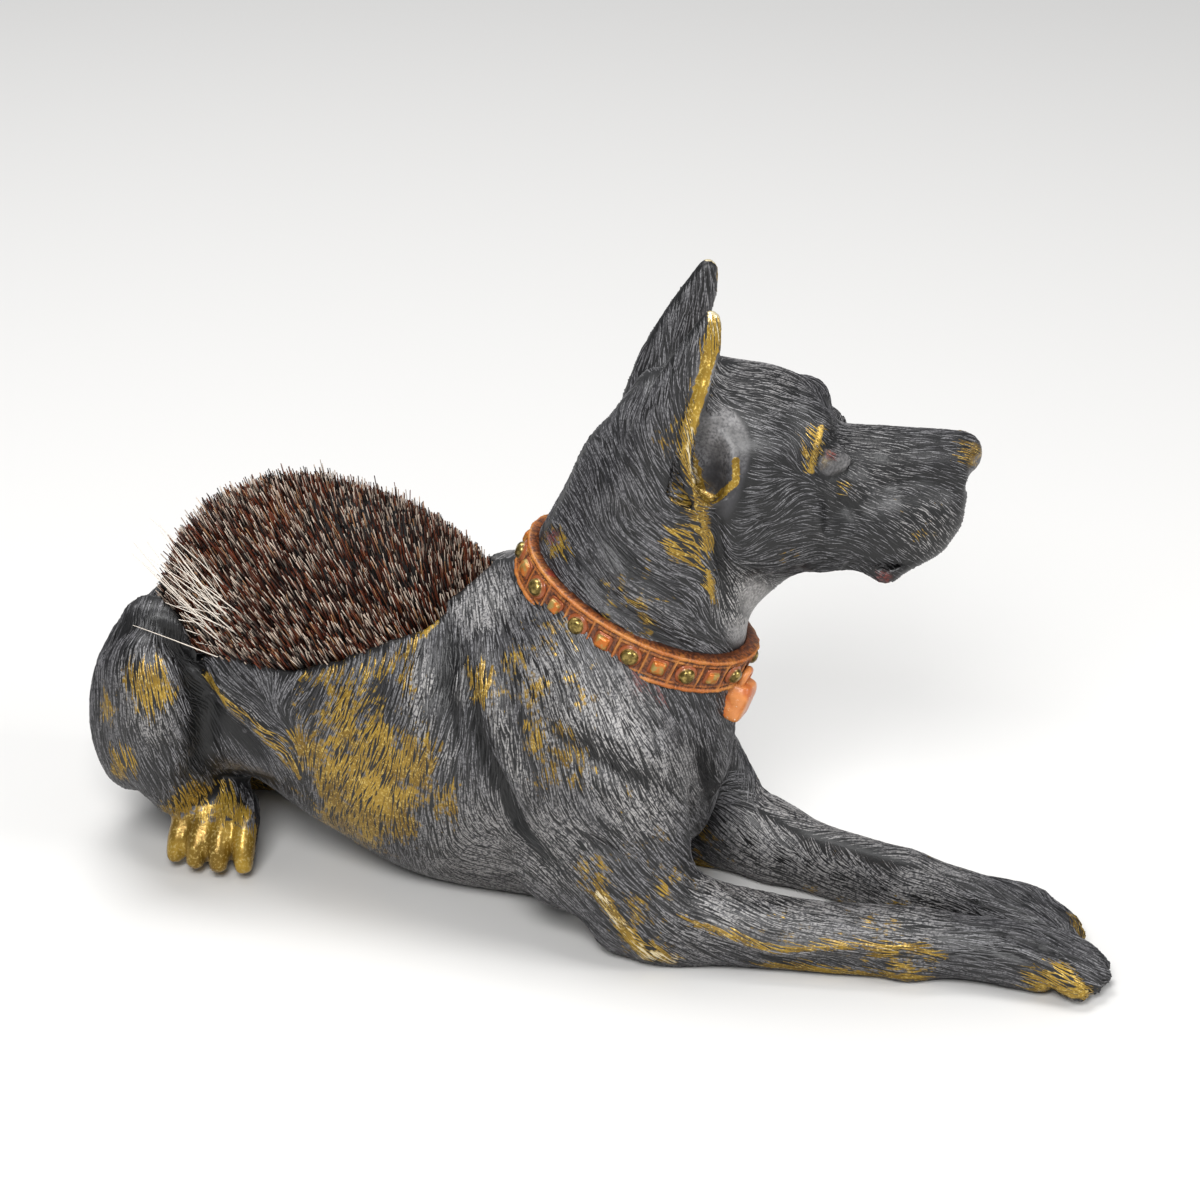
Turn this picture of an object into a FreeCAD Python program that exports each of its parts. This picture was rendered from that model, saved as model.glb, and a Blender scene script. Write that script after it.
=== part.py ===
import FreeCAD, Part
import math
import os

# Pen wipe: a hollow cast hound lying with its head up, and an oval bristle brush that
# stands in the opening of its back and lifts out.
# Millimetres. +X points to the nose, +Y to the hound's left and +Z up. The origin is on
# the flat rest face under the chest.

os.makedirs("parts", exist_ok=True)
Vec = FreeCAD.Vector

# walls, fits and trims
casting_wall = 1.8
floor_trim = 0.6        # how far rounded undersides are ground away to rest flat
brush_clearance = 0.3   # between the stock and the opening's wall
tuft_clearance = 0.05   # between a tuft's foot and its hole
tuft_spacing = 0.2      # between neighbouring tufts
lift_clearance = 0.5    # between the haunches and the bristles on their way out

# torso sections, from the rump forward: place, keel height, back height, half width
rump_x = -48.8
rump_keel = 4.0
rump_back = 28.0
rump_half_width = 10.2
hip_x = -43.0
hip_keel = 4.4
hip_back = 32.2
hip_half_width = 12.6
loin_x = -33.0
loin_keel = 9.0
loin_back = 33.8
loin_half_width = 13.0
waist_x = -24.0
waist_keel = 4.6
waist_back = 35.2
waist_half_width = 13.8
ribs_x = -12.0
ribs_keel = 0.0
ribs_back = 37.4
ribs_half_width = 15.0
girth_keel = 0.0        # the girth's section stands over the origin
girth_back = 40.2
girth_half_width = 15.4
shoulder_x = 10.0
shoulder_keel = 0.3
shoulder_back = 40.0
shoulder_half_width = 14.6
brisket_x = 16.4
brisket_keel = 4.6
brisket_back = 36.0
brisket_half_width = 12.0
chest_front_x = 20.2
chest_front_keel = 9.5
chest_front_back = 31.5
chest_front_half_width = 9.0
ribs_fullness = 0.16    # how much wider the torso is above its middle than below
rump_dome = 5.2
chest_dome = 2.2

# neck: its tilt forward from upright and its sections, along and across the body
neck_tilt = 24.4
neck_root_x = 8.8
neck_root_z = 23.0
neck_root_depth = 28.5
neck_root_width = 26.0
collar_x = 13.1
collar_z = 37.3
collar_neck_depth = 26.4
collar_neck_width = 21.4
nape_x = 15.5
nape_z = 47.3
nape_depth = 22.0
nape_width = 19.2
neck_top_x = 18.0
neck_top_z = 55.0
neck_top_depth = 20.0
neck_top_width = 17.6
neck_top_dome = 6.0

# collar strap, its edge beads, its studs and its lock
strap_width = 4.4
strap_thickness = 0.9
edge_bead_width = 0.6
edge_bead_proud = 0.45
stud_count = 24
round_stud_diameter = 1.9
square_stud_width = 1.9
stud_proud = 0.8
lock_width = 3.4
lock_height = 4.0
lock_proud = 2.0
shackle_width = 1.8
shackle_height = 0.4

# head: turned to its left about the top of the neck, sections from the skull to the nose
head_turn = 20.0
head_pivot_x = 13.0
occiput_at = 2.6
occiput_under = 50.0
occiput_top = 64.6
occiput_width = 14.6
occiput_dome = 3.6
skull_run = 6.4         # from the occiput to the skull's highest section, and so on forward
skull_under = 41.6
skull_top = 65.8
skull_width = 17.2
cheek_run = 6.5
cheek_under = 41.0
cheek_top = 64.4
cheek_width = 17.0
brow_run = 4.7
brow_under = 41.4
brow_top = 61.6
brow_width = 14.6
stop_run = 4.0
stop_under = 41.0
stop_top = 58.0
stop_width = 12.2
muzzle_run = 5.3
muzzle_under = 42.4
muzzle_top = 57.3
muzzle_width = 11.0
lip_run = 4.9
lip_under = 46.2
lip_top = 56.8
lip_width = 9.8
nose_run = 3.0
nose_under = 51.0
nose_top = 56.0
nose_width = 5.6
nose_dome = 0.8

# ears: base, fold, blade and tip, measured in the head's own frame
ear_side = 7.3
ear_base_at = 4.0
ear_base_height = 52.0
ear_base_length = 11.0
ear_base_thickness = 5.4
ear_fold_at = 3.8
ear_fold_rise = 6.5      # above the base, and so on upward
ear_fold_length = 9.6
ear_fold_thickness = 5.2
ear_blade_at = 5.0
ear_blade_rise = 6.5
ear_blade_length = 5.6
ear_blade_thickness = 3.6
ear_tip_at = 8.0
ear_tip_rise = 9.6
ear_tip_length = 1.5
ear_tip_thickness = 1.2
ear_rim = 1.1           # rim left round the cup of the ear

# forelegs: shoulder blade, point of the shoulder, elbow, wrist, paw and toes
blade_top_x = 6.5
blade_top_y = 8.4
blade_top_z = 36.5
blade_top_length = 9.0
blade_top_dome = 1.6
shoulder_point_x = 13.0
shoulder_point_y = 11.4
shoulder_point_z = 20.0
shoulder_length = 19.0
shoulder_thickness = 11.0
elbow_x = 19.0
elbow_y = 12.8
elbow_depth = 12.4
elbow_width = 9.0
forearm_depth = 7.8
forearm_width = 7.4
wrist_x = 48.0
wrist_y = 6.4
wrist_depth = 8.0
wrist_width = 7.2
paw_x = 61.5
paw_y = 4.3
paw_depth = 6.8
paw_width = 7.8
toe_tip_x = 69.4
toe_tip_y = 4.1
left_foreleg_setback = 4.6

# toes, the same on every paw
toe_count = 4
toe_width = 2.7
toe_arch = 0.7

# right hind leg: raised haunch, foot turned outwards on the ground
haunch_x = -40.4
haunch_y = 10.4
haunch_z = 22.5
haunch_length = 14.6
haunch_height = 22.0
haunch_thickness = 11.4
hock_x = -39.0
hock_z = 8.6
hock_length = 8.4
right_foot_x = -35.2
right_foot_reach = 13.4
right_foot_width = 9.6
right_foot_depth = 7.4

# left hind leg: haunch low on the ground, foot stretched forward
left_haunch_z = 15.0
left_haunch_length = 19.0
left_haunch_height = 27.0
left_hock_x = -50.5
left_hock_y = 9.0
left_foot_x = -26.0
left_foot_y = 15.0
left_foot_tip_x = -19.5
left_foot_width = 8.6
left_foot_depth = 6.6
left_shank_depth = 6.4

# tail: root in the rump, laid round the left side
tail_root_z = 14.0
tail_root_diameter = 6.2
tail_side_y = 24.5
tail_middle_diameter = 4.6
tail_tip_x = -18.0
tail_tip_diameter = 2.4

# brush: the opening's tilt and ends, the stock and the dome of bristles
opening_tilt = 13.0
opening_x = -24.75
opening_z = 34.7
opening_length = 41.6
opening_width = 24.0
stock_sunk = 8.6        # the stock's top below the line through the opening's two ends
stock_thickness = 6.0
seat_width = 2.4
seat_thickness = 1.6
bristle_height = 22.8   # above the stock, at the middle of the dome
dome_length = 43.6
dome_width = 26.4
tuft_pitch = 3.2
tuft_hole_diameter = 2.0
tuft_hole_depth = 3.6
tuft_edge_margin = 1.7  # from the outermost holes' centres to the stock's edge
bristle_flare = 0.15    # how much wider the bristles stand at the top than at the stock
row_count = 7

reach = 200.0           # longer than the whole object, for cutting blocks
rows_per_gap = 3        # rings between two stations of a body or limb
poles_per_ring = 12


def unit(vector):
    return vector * (1.0 / vector.Length)


# An egg: an ellipse whose width grows with its height by the fullness, as the poles of a
# smooth closed curve, which runs inside its poles by a known share.
def egg(centre, across, upward, width, height, fullness=0.0):
    swell = 3.0 / (2.0 + math.cos(2 * math.pi / poles_per_ring))
    poles = []
    for step in range(poles_per_ring):
        turn = 2 * math.pi * (step / float(poles_per_ring) - 0.25)
        side = 0.5 * swell * width * math.cos(turn) * (1.0 + fullness * math.sin(turn))
        poles.append(centre + across * side + upward * (0.5 * swell * height * math.sin(turn)))
    return poles


# A closed solid: one smooth surface over the rings of poles, with a flat face at each end.
def skin(rings):
    surface = Part.BSplineSurface()
    around = [[ring[step] for ring in rings] for step in range(poles_per_ring)]
    along_knots = len(rings) - 2
    surface.buildFromPolesMultsKnots(
        around, [1] * (poles_per_ring + 1), [4] + [1] * (along_knots - 2) + [4],
        list(range(poles_per_ring + 1)), list(range(along_knots)), True, False, 3, 3)
    faces = [surface.toShape()]
    for end in (0, along_knots - 1):
        faces.append(Part.Face(Part.Wire(surface.vIso(end).toShape())))
    sewn = Part.makeCompound(faces)
    sewn.sewShape()
    solid = Part.makeSolid(sewn.Shells[0] if sewn.Shells else Part.makeShell(sewn.Faces))
    if solid.Volume < 0:
        solid.reverse()
    return solid


# Slopes for a smooth curve through the values that never swings past them.
def calm_slopes(gaps, values):
    rises = [(values[i + 1] - values[i]) / gaps[i] for i in range(len(gaps))]
    slopes = [rises[0]]
    for before, after in zip(rises, rises[1:]):
        slopes.append(0.0 if before * after <= 0 else 2 * before * after / (before + after))
    return slopes + [rises[-1]]


# Rows between the given rows, each column on its own smooth curve over the distance
# between the rows' first three values, which are a point.
def refined(rows):
    gaps = [math.dist(rows[i][:3], rows[i + 1][:3]) for i in range(len(rows) - 1)]
    slopes = [calm_slopes(gaps, [row[column] for row in rows]) for column in range(len(rows[0]))]
    fine = []
    for index, gap in enumerate(gaps):
        for step in range(rows_per_gap):
            t = step / float(rows_per_gap)
            row = []
            for column, slope in enumerate(slopes):
                start = rows[index][column]
                end = rows[index + 1][column]
                row.append(start * (1 + 2 * t) * (1 - t) ** 2 + end * t * t * (3 - 2 * t)
                           + gap * (slope[index] * t * (1 - t) ** 2 - slope[index + 1] * t * t * (1 - t)))
            fine.append(row)
    fine.append(list(rows[-1]))
    return fine


# Rows past the last one that close it as a dome of the given length.
def domed(rows, length):
    end = Vec(*rows[-1][:3])
    along = unit(end - Vec(*rows[-2][:3]))
    closing = []
    for share in (0.5, 0.8, 0.96):
        shrink = math.sqrt(1 - share ** 2)
        point = end + along * (share * length)
        closing.append([point.x, point.y, point.z, rows[-1][3] * shrink, rows[-1][4] * shrink] + rows[-1][5:])
    return rows + closing


def rounded(rows, start_dome, end_dome):
    fine = refined(rows)
    if end_dome:
        fine = domed(fine, end_dome)
    if start_dome:
        fine = domed(fine[::-1], start_dome)[::-1]
    return fine


# A limb: eggs square to the path through the stations (point, width, height), where
# the width lies along the side direction. A dome length closes an end roundly.
def limb(stations, side, start_dome=0.0, end_dome=0.0):
    rows = [[point.x, point.y, point.z, width, height] for point, width, height in stations]
    rows = rounded(rows, start_dome, end_dome)
    points = [Vec(*row[:3]) for row in rows]
    sections = []
    last = len(rows) - 1
    for index, row in enumerate(rows):
        along = unit(points[min(index + 1, last)] - points[max(index - 1, 0)])
        across = unit(side - along * side.dot(along))
        sections.append(egg(points[index], across, along.cross(across), row[3], row[4]))
    return skin(sections)


# A body of upright eggs along X from rows of place, under, top and width.
def barrel(stations, fullness, start_dome=0.0, end_dome=0.0):
    rows = [[x, 0.0, 0.5 * (under + top), width, top - under] for x, under, top, width in stations]
    sections = []
    for x, y, z, width, height in rounded(rows, start_dome, end_dome):
        sections.append(egg(Vec(x, y, z), Vec(0, 1, 0), Vec(0, 0, 1), width, height, fullness))
    return skin(sections)


# A block that holds everything above the floor.
def above_floor(shape):
    block = Part.makeBox(reach, reach, reach, Vec(-reach / 2, -reach / 2, 0))
    return shape.common(block)


def one_solid(shape):
    return max(shape.Solids, key=lambda solid: solid.Volume)


def save(name, shape):
    shape.exportStep("parts/" + name + ".step")
    boxed = shape.optimalBoundingBox(False, False)
    print("%-20s solids %2d valid %s volume %9.2f  x %6.1f %6.1f  y %6.1f %6.1f  z %6.1f %6.1f" % (
        name, len(shape.Solids), shape.isValid(), shape.Volume,
        boxed.XMin, boxed.XMax, boxed.YMin, boxed.YMax, boxed.ZMin, boxed.ZMax))


# Torso: upright eggs along X, each from its keel to its back.
def torso_stations():
    return [
        (rump_x, rump_keel, rump_back, rump_half_width),
        (hip_x, hip_keel, hip_back, hip_half_width),
        (loin_x, loin_keel, loin_back, loin_half_width),
        (waist_x, waist_keel, waist_back, waist_half_width),
        (ribs_x, ribs_keel - floor_trim / 2, ribs_back, ribs_half_width),
        (0.0, girth_keel - floor_trim, girth_back, girth_half_width),
        (shoulder_x, shoulder_keel - floor_trim, shoulder_back, shoulder_half_width),
        (brisket_x, brisket_keel, brisket_back, brisket_half_width),
        (chest_front_x, chest_front_keel, chest_front_back, chest_front_half_width)]


def torso_skin(inset, start_dome, end_dome):
    stations = []
    for x, keel, back, half_width in torso_stations():
        stations.append((x, keel + inset, back - inset, 2 * (half_width - inset)))
    return barrel(stations, ribs_fullness, start_dome, end_dome)


# Neck: eggs square to the neck's tilt; the top one stands more upright.
def neck_skin():
    stations = [
        [neck_root_x, 0.0, neck_root_z, neck_root_width, neck_root_depth, neck_tilt],
        [collar_x, 0.0, collar_z, collar_neck_width, collar_neck_depth, neck_tilt],
        [nape_x, 0.0, nape_z, nape_width, nape_depth, 0.85 * neck_tilt],
        [neck_top_x, 0.0, neck_top_z, neck_top_width, neck_top_depth, 0.5 * neck_tilt]]
    sections = []
    for x, y, z, width, depth, tilt in rounded(stations, 0.0, neck_top_dome):
        lean = math.radians(tilt)
        forward = Vec(math.cos(lean), 0, -math.sin(lean))
        sections.append(egg(Vec(x, y, z), Vec(0, 1, 0), forward, width, depth))
    return skin(sections)


# The collar's own frame: its x to the throat, its z up the neck.
collar_place = FreeCAD.Placement(Vec(collar_x, 0, collar_z), FreeCAD.Rotation(Vec(0, 1, 0), neck_tilt))
# The brush's own frame: its x along the opening, its z the way the brush lifts.
brush_place = FreeCAD.Placement(Vec(opening_x, 0, opening_z), FreeCAD.Rotation(Vec(0, 1, 0), -opening_tilt))
# The head's own frame: its x to the nose, its z up.
head_place = FreeCAD.Placement(Vec(head_pivot_x, 0, 0), FreeCAD.Rotation(Vec(0, 0, 1), head_turn))


def placed(shape, place):
    moved = shape.copy()
    moved.Placement = place.multiply(moved.Placement)
    return moved


# An oval prism between two heights.
def oval_prism(length, width, low, high):
    if length >= width:
        oval = Part.Ellipse(Vec(0, 0, low), length / 2, width / 2)
    else:
        oval = Part.Ellipse(Vec(0, width / 2, low), Vec(length / 2, 0, low), Vec(0, 0, low))
    face = Part.Face(Part.Wire(oval.toShape()))
    return face.extrude(Vec(0, 0, high - low))


neck = neck_skin()
below_collar = placed(Part.makeBox(reach, reach, reach, Vec(-reach / 2, -reach / 2, -reach)), collar_place)
torso_block = one_solid(torso_skin(0.0, rump_dome, chest_dome).fuse(neck.common(below_collar)))

# The hollow inside, its opening in the back and the ledge that the stock rests on.
stock_top = -stock_sunk
stock_bottom = stock_top - stock_thickness
opening = placed(oval_prism(opening_length, opening_width, stock_bottom, reach / 2), brush_place)
ledge = placed(oval_prism(opening_length + 6 * seat_width, opening_width + 6 * seat_width,
                          stock_bottom - seat_thickness, stock_bottom), brush_place)
ledge_hole = placed(oval_prism(opening_length - 2 * (brush_clearance + seat_width),
                               opening_width - 2 * (brush_clearance + seat_width),
                               stock_bottom - 2 * seat_thickness, stock_bottom + 1), brush_place)
hollow = torso_skin(casting_wall, rump_dome - casting_wall, 0.0)
ledge_ring = ledge.common(hollow).cut(ledge_hole)
torso = torso_block.cut(hollow).fuse(ledge_ring)
torso = one_solid(above_floor(torso.cut(opening)))
# the way out of the brush, which no leg reaches into
brush_way = opening.fuse(placed(oval_prism(dome_length + 2 * lift_clearance, dome_width + 2 * lift_clearance,
                                           stock_top / 2, reach / 2), brush_place))
save("torso_casting", torso)


# A slice of the collar's oval, as far out as the strap's face and a bead on it.
def collar_ring(low, high, proud):
    length = collar_neck_depth + 2 * (strap_thickness + proud)
    width = collar_neck_width + 2 * (strap_thickness + proud)
    return placed(oval_prism(length, width, low, high), collar_place)


half_strap = strap_width / 2
# the strap and the neck above it, which no shoulder reaches into
neck_way = collar_ring(-half_strap, reach / 2, edge_bead_proud)


# Head: upright eggs along the head's own axis.
def head_skin():
    sections = [
        (occiput_at, occiput_under, occiput_top, occiput_width),
        (skull_run, skull_under, skull_top, skull_width),
        (cheek_run, cheek_under, cheek_top, cheek_width),
        (brow_run, brow_under, brow_top, brow_width),
        (stop_run, stop_under, stop_top, stop_width),
        (muzzle_run, muzzle_under, muzzle_top, muzzle_width),
        (lip_run, lip_under, lip_top, lip_width),
        (nose_run, nose_under, nose_top, nose_width)]
    stations = []
    place = 0.0
    for run, under, top, width in sections:
        place += run
        stations.append((place, under, top, width))
    return placed(barrel(stations, 0.0, occiput_dome, nose_dome), head_place)


head = one_solid(head_skin().fuse(neck.cut(below_collar)).cut(torso_block))
save("head_casting", head)


# An ear: a tapering blade with its cup hollowed out of the side that faces out and forward.
def ear(side):
    sections = [
        (ear_base_at, ear_base_height, ear_base_length, ear_base_thickness),
        (ear_fold_at, ear_fold_rise, ear_fold_length, ear_fold_thickness),
        (ear_blade_at, ear_blade_rise, ear_blade_length, ear_blade_thickness),
        (ear_tip_at, ear_tip_rise, ear_tip_length, ear_tip_thickness)]
    blade = []
    cup = []
    height = 0.0
    for at, rise, length, thickness in sections:
        height += rise
        blade.append((Vec(at, side * ear_side, height), thickness, length))
        inward = Vec(at + thickness / 2, side * (ear_side + thickness / 2), height)
        cup.append((inward, max(thickness - ear_rim, 0.4), max(length - 2 * ear_rim, 0.4)))
    shell = limb(blade, Vec(0, 1, 0), 0.0, ear_tip_length / 2).cut(limb(cup[1:], Vec(0, 1, 0)))
    return one_solid(placed(one_solid(shell), head_place).cut(head))


save("left_ear", ear(1))
save("right_ear", ear(-1))


# Four toes spread across the end of a foot, each swelling at its knuckle and arched.
def toes(knuckle, tip, spread, width):
    bars = []
    for index in range(toe_count):
        share = (index - (toe_count - 1) / 2.0) / (toe_count - 1)
        start = knuckle + spread * (share * (width - toe_width))
        end = tip + spread * (share * width)
        middle = (start + end) * 0.5 + Vec(0, 0, toe_arch)
        bars.append(limb([(start, toe_width, toe_width), (middle, 1.1 * toe_width, 1.1 * toe_width),
                          (end, 0.8 * toe_width, 0.8 * toe_width)], spread, toe_width / 2, toe_width / 2))
    return bars


# Solids joined one after another.
def joined(first, others):
    whole = first
    for other in others:
        whole = whole.fuse(other)
    return whole


# Foreleg: the flat mass of the shoulder and upper arm, and the forearm along the floor.
def foreleg(side, setback):
    def at(x, y, z):
        return Vec(x - setback, side * y, z)

    elbow_z = elbow_depth / 2 - floor_trim
    middle_x = 0.5 * (blade_top_x + shoulder_point_x)
    middle_y = 0.5 * (blade_top_y + shoulder_point_y) + 0.6
    middle_z = 0.5 * (blade_top_z + shoulder_point_z)
    upper = limb([
        (at(blade_top_x, blade_top_y, blade_top_z), 0.5 * shoulder_thickness, blade_top_length),
        (at(middle_x, middle_y, middle_z), 0.9 * shoulder_thickness, 0.92 * shoulder_length),
        (at(shoulder_point_x, shoulder_point_y, shoulder_point_z), shoulder_thickness, shoulder_length),
        (at(0.5 * (shoulder_point_x + elbow_x), elbow_y - 0.5, 0.5 * (shoulder_point_z + elbow_z) - 1.0),
         0.5 * (shoulder_thickness + elbow_width), 0.8 * shoulder_length),
        (at(elbow_x - 0.4, elbow_y, 0.8 * elbow_z), 0.9 * elbow_width, 0.56 * shoulder_length)],
        Vec(0, 1, 0), blade_top_dome, 0.5 * elbow_z)
    run = wrist_x - elbow_x
    swing = wrist_y - elbow_y
    lower = limb([
        (at(elbow_x - 2.0, elbow_y, elbow_z - 0.4), 0.86 * elbow_width, 0.86 * elbow_depth),
        (at(elbow_x + 2.0, elbow_y - 0.3, elbow_z - 0.1), elbow_width, elbow_depth),
        (at(elbow_x + 0.3 * run, elbow_y + 0.3 * swing, 0.25 * (elbow_depth + forearm_depth)),
         0.5 * (elbow_width + forearm_width), 0.46 * (elbow_depth + forearm_depth)),
        (at(elbow_x + 0.65 * run, elbow_y + 0.65 * swing, forearm_depth / 2), forearm_width, forearm_depth),
        (at(wrist_x, wrist_y, wrist_depth / 2 - floor_trim / 2), wrist_width, wrist_depth),
        (at(0.5 * (wrist_x + paw_x), 0.5 * (wrist_y + paw_y), paw_depth / 2), 0.95 * wrist_width,
         0.94 * paw_depth),
        (at(paw_x, paw_y, paw_depth / 2 - floor_trim), paw_width, paw_depth),
        (at(0.4 * paw_x + 0.6 * toe_tip_x, toe_tip_y, 0.42 * paw_depth - floor_trim),
         0.9 * paw_width, 0.76 * paw_depth)],
        Vec(0, 1, 0), 0.4 * elbow_depth, 0.5 * (toe_tip_x - paw_x) - toe_width)
    knuckle = at(0.6 * paw_x + 0.4 * toe_tip_x, toe_tip_y, 0.6 * paw_depth)
    tip = at(toe_tip_x - toe_width / 2, toe_tip_y, 0.4 * toe_width)
    leg = joined(upper, [lower] + toes(knuckle, tip, Vec(0, 1, 0), 0.72 * paw_width))
    leg = one_solid(above_floor(leg)).cut(torso_block).cut(brush_way)
    return one_solid(leg.cut(neck_way))


right_foreleg = foreleg(-1, 0.0)
left_foreleg = foreleg(1, left_foreleg_setback)
save("right_foreleg", right_foreleg)
save("left_foreleg", left_foreleg)


# Right hind leg: the raised haunch and the foot turned out under it.
def right_hind_leg():
    haunch = limb([
        (Vec(haunch_x - 0.4, -haunch_y + 1.2, haunch_z + 0.36 * haunch_height), 0.84 * haunch_thickness,
         0.8 * haunch_length),
        (Vec(haunch_x, -haunch_y, haunch_z), haunch_thickness, haunch_length),
        (Vec(0.5 * (haunch_x + hock_x), -haunch_y + 1.0, haunch_z - 0.34 * haunch_height),
         0.9 * haunch_thickness, 0.84 * haunch_length),
        (Vec(hock_x, -haunch_y + 3.2, hock_z), 0.7 * haunch_thickness, hock_length)],
        Vec(0, 1, 0), 0.16 * haunch_height, 0.3 * hock_length)
    foot = limb([
        (Vec(hock_x, -2.5, hock_z - 0.6), 0.76 * right_foot_width, 0.86 * right_foot_depth),
        (Vec(0.5 * (hock_x + right_foot_x), -0.45 * right_foot_reach, 0.8 * right_foot_depth),
         0.9 * right_foot_width, right_foot_depth),
        (Vec(right_foot_x, -0.76 * right_foot_reach, right_foot_depth / 2 - floor_trim),
         right_foot_width, 0.94 * right_foot_depth)],
        Vec(1, 0, 0), 0.0, 0.2 * right_foot_reach)
    knuckle = Vec(right_foot_x, -0.66 * right_foot_reach, 0.84 * right_foot_depth)
    tip = Vec(right_foot_x, toe_width / 2 - right_foot_reach, 0.4 * toe_width)
    leg = joined(haunch, [foot] + toes(knuckle, tip, Vec(1, 0, 0), 0.86 * right_foot_width))
    return one_solid(one_solid(above_floor(leg)).cut(torso_block).cut(brush_way))


# Left hind leg: the haunch low on the floor and the foot stretched forward beside it.
def left_hind_leg():
    haunch = limb([
        (Vec(haunch_x, haunch_y - 1.6, left_haunch_z + 0.36 * left_haunch_height), 0.8 * haunch_thickness,
         0.7 * left_haunch_length),
        (Vec(haunch_x, haunch_y + 0.8, left_haunch_z), haunch_thickness, left_haunch_length),
        (Vec(haunch_x + 1.2, haunch_y + 0.8, left_haunch_z - 0.3 * left_haunch_height),
         0.95 * haunch_thickness, 0.95 * left_haunch_length),
        (Vec(haunch_x + 2.4, haunch_y + 0.4, left_haunch_z - 0.5 * left_haunch_height),
         0.6 * haunch_thickness, 0.6 * left_haunch_length)],
        Vec(0, 1, 0), 0.16 * left_haunch_height, 0.0)
    shank_z = left_shank_depth / 2 - floor_trim
    foot_z = left_foot_depth / 2 - floor_trim
    foot = limb([
        (Vec(left_hock_x, left_hock_y, shank_z), left_shank_depth, left_shank_depth),
        (Vec(0.5 * (left_hock_x + left_foot_x), 0.5 * (left_hock_y + left_foot_y), shank_z),
         left_shank_depth, 0.9 * left_shank_depth),
        (Vec(left_foot_x, left_foot_y, foot_z), left_foot_width, left_foot_depth)],
        Vec(0, 1, 0), left_shank_depth / 2, 0.4 * (left_foot_tip_x - left_foot_x))
    knuckle = Vec(left_foot_x + 1.0, left_foot_y, 0.62 * left_foot_depth)
    tip = Vec(left_foot_tip_x - toe_width / 2, left_foot_y, 0.4 * toe_width)
    leg = joined(haunch, [foot] + toes(knuckle, tip, Vec(0, 1, 0), 0.72 * left_foot_width))
    return one_solid(one_solid(above_floor(leg)).cut(torso_block).cut(brush_way))


right_leg = right_hind_leg()
left_leg = left_hind_leg()
save("right_hind_leg", right_leg)
save("left_hind_leg", left_leg)


# Tail: out of the rump, down to the floor and forward along the left side.
def tail():
    middle = tail_middle_diameter / 2 - floor_trim / 2
    thick = tail_middle_diameter + 0.7
    path = limb([
        (Vec(rump_x + 1.0, 2.0, tail_root_z + 2.0), tail_root_diameter, tail_root_diameter),
        (Vec(rump_x - 1.5, 0.35 * tail_side_y, tail_root_z - 3.0), 0.94 * tail_root_diameter,
         0.94 * tail_root_diameter),
        (Vec(rump_x + 0.5, 0.66 * tail_side_y, middle + 3.0), thick, thick),
        (Vec(rump_x + 6.5, 0.88 * tail_side_y, middle), tail_middle_diameter, tail_middle_diameter),
        (Vec(rump_x + 18.5, tail_side_y, middle), 0.92 * tail_middle_diameter, 0.92 * tail_middle_diameter),
        (Vec(tail_tip_x, 0.98 * tail_side_y, tail_tip_diameter / 2), tail_tip_diameter,
         tail_tip_diameter)], Vec(0, 0, 1), 0.0, tail_tip_diameter / 2)
    return one_solid(one_solid(above_floor(path)).cut(torso_block).cut(left_leg))


save("tail", tail())


# Collar: a strap round the neck with a raised bead along each edge.
collar = collar_ring(-half_strap, half_strap, 0.0)
collar = collar.fuse(collar_ring(-half_strap, edge_bead_width - half_strap, edge_bead_proud))
collar = collar.fuse(collar_ring(half_strap - edge_bead_width, half_strap, edge_bead_proud))
collar = one_solid(collar.cut(torso_block).cut(head))
save("collar_strap", collar)


# Studs: evenly spaced round the strap's oval, round and square in turn, none at the throat,
# where the lock hangs. Each is set in the strap's face by its own foot.
def stud_places():
    long_half = collar_neck_depth / 2 + strap_thickness
    wide_half = collar_neck_width / 2 + strap_thickness
    oval = Part.Ellipse(Vec(0, 0, 0), long_half, wide_half)
    edge = oval.toShape()
    places = []
    for index in range(1, stud_count):
        at = edge.getParameterByLength(edge.Length * index / stud_count)
        point = edge.valueAt(at)
        outward = unit(Vec(point.x / long_half ** 2, point.y / wide_half ** 2, 0))
        places.append((index, point, outward))
    return places


def studs(odd):
    solids = []
    for index, point, outward in stud_places():
        if index % 2 != odd:
            continue
        turn = FreeCAD.Rotation(Vec(0, 0, 1), outward)
        root = point - outward * (strap_thickness / 2)
        rise = strap_thickness / 2 + stud_proud
        if odd:
            stud = Part.makeCone(round_stud_diameter / 2, 0.3 * round_stud_diameter, rise)
        else:
            half = square_stud_width / 2
            base = Part.makePolygon([Vec(-half, -half, 0), Vec(half, -half, 0), Vec(half, half, 0),
                                     Vec(-half, half, 0), Vec(-half, -half, 0)])
            top = base.copy()
            top.scale(0.6)
            top.translate(Vec(0, 0, rise))
            stud = Part.makeLoft([base, top], True, True)
            turn = turn.multiply(FreeCAD.Rotation(Vec(0, 0, 1), square_stud_turn(turn)))
        stud.Placement = FreeCAD.Placement(root, turn)
        solids.append(placed(stud, collar_place).cut(collar))
    return Part.makeCompound([one_solid(solid) for solid in solids])


# The turn about its own axis that sets a square stud's sides along the strap.
def square_stud_turn(turn):
    side = turn.multVec(Vec(1, 0, 0))
    return -math.degrees(math.atan2(side.z, math.hypot(side.x, side.y)))


save("collar_round_studs", studs(1))
save("collar_square_studs", studs(0))


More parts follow.
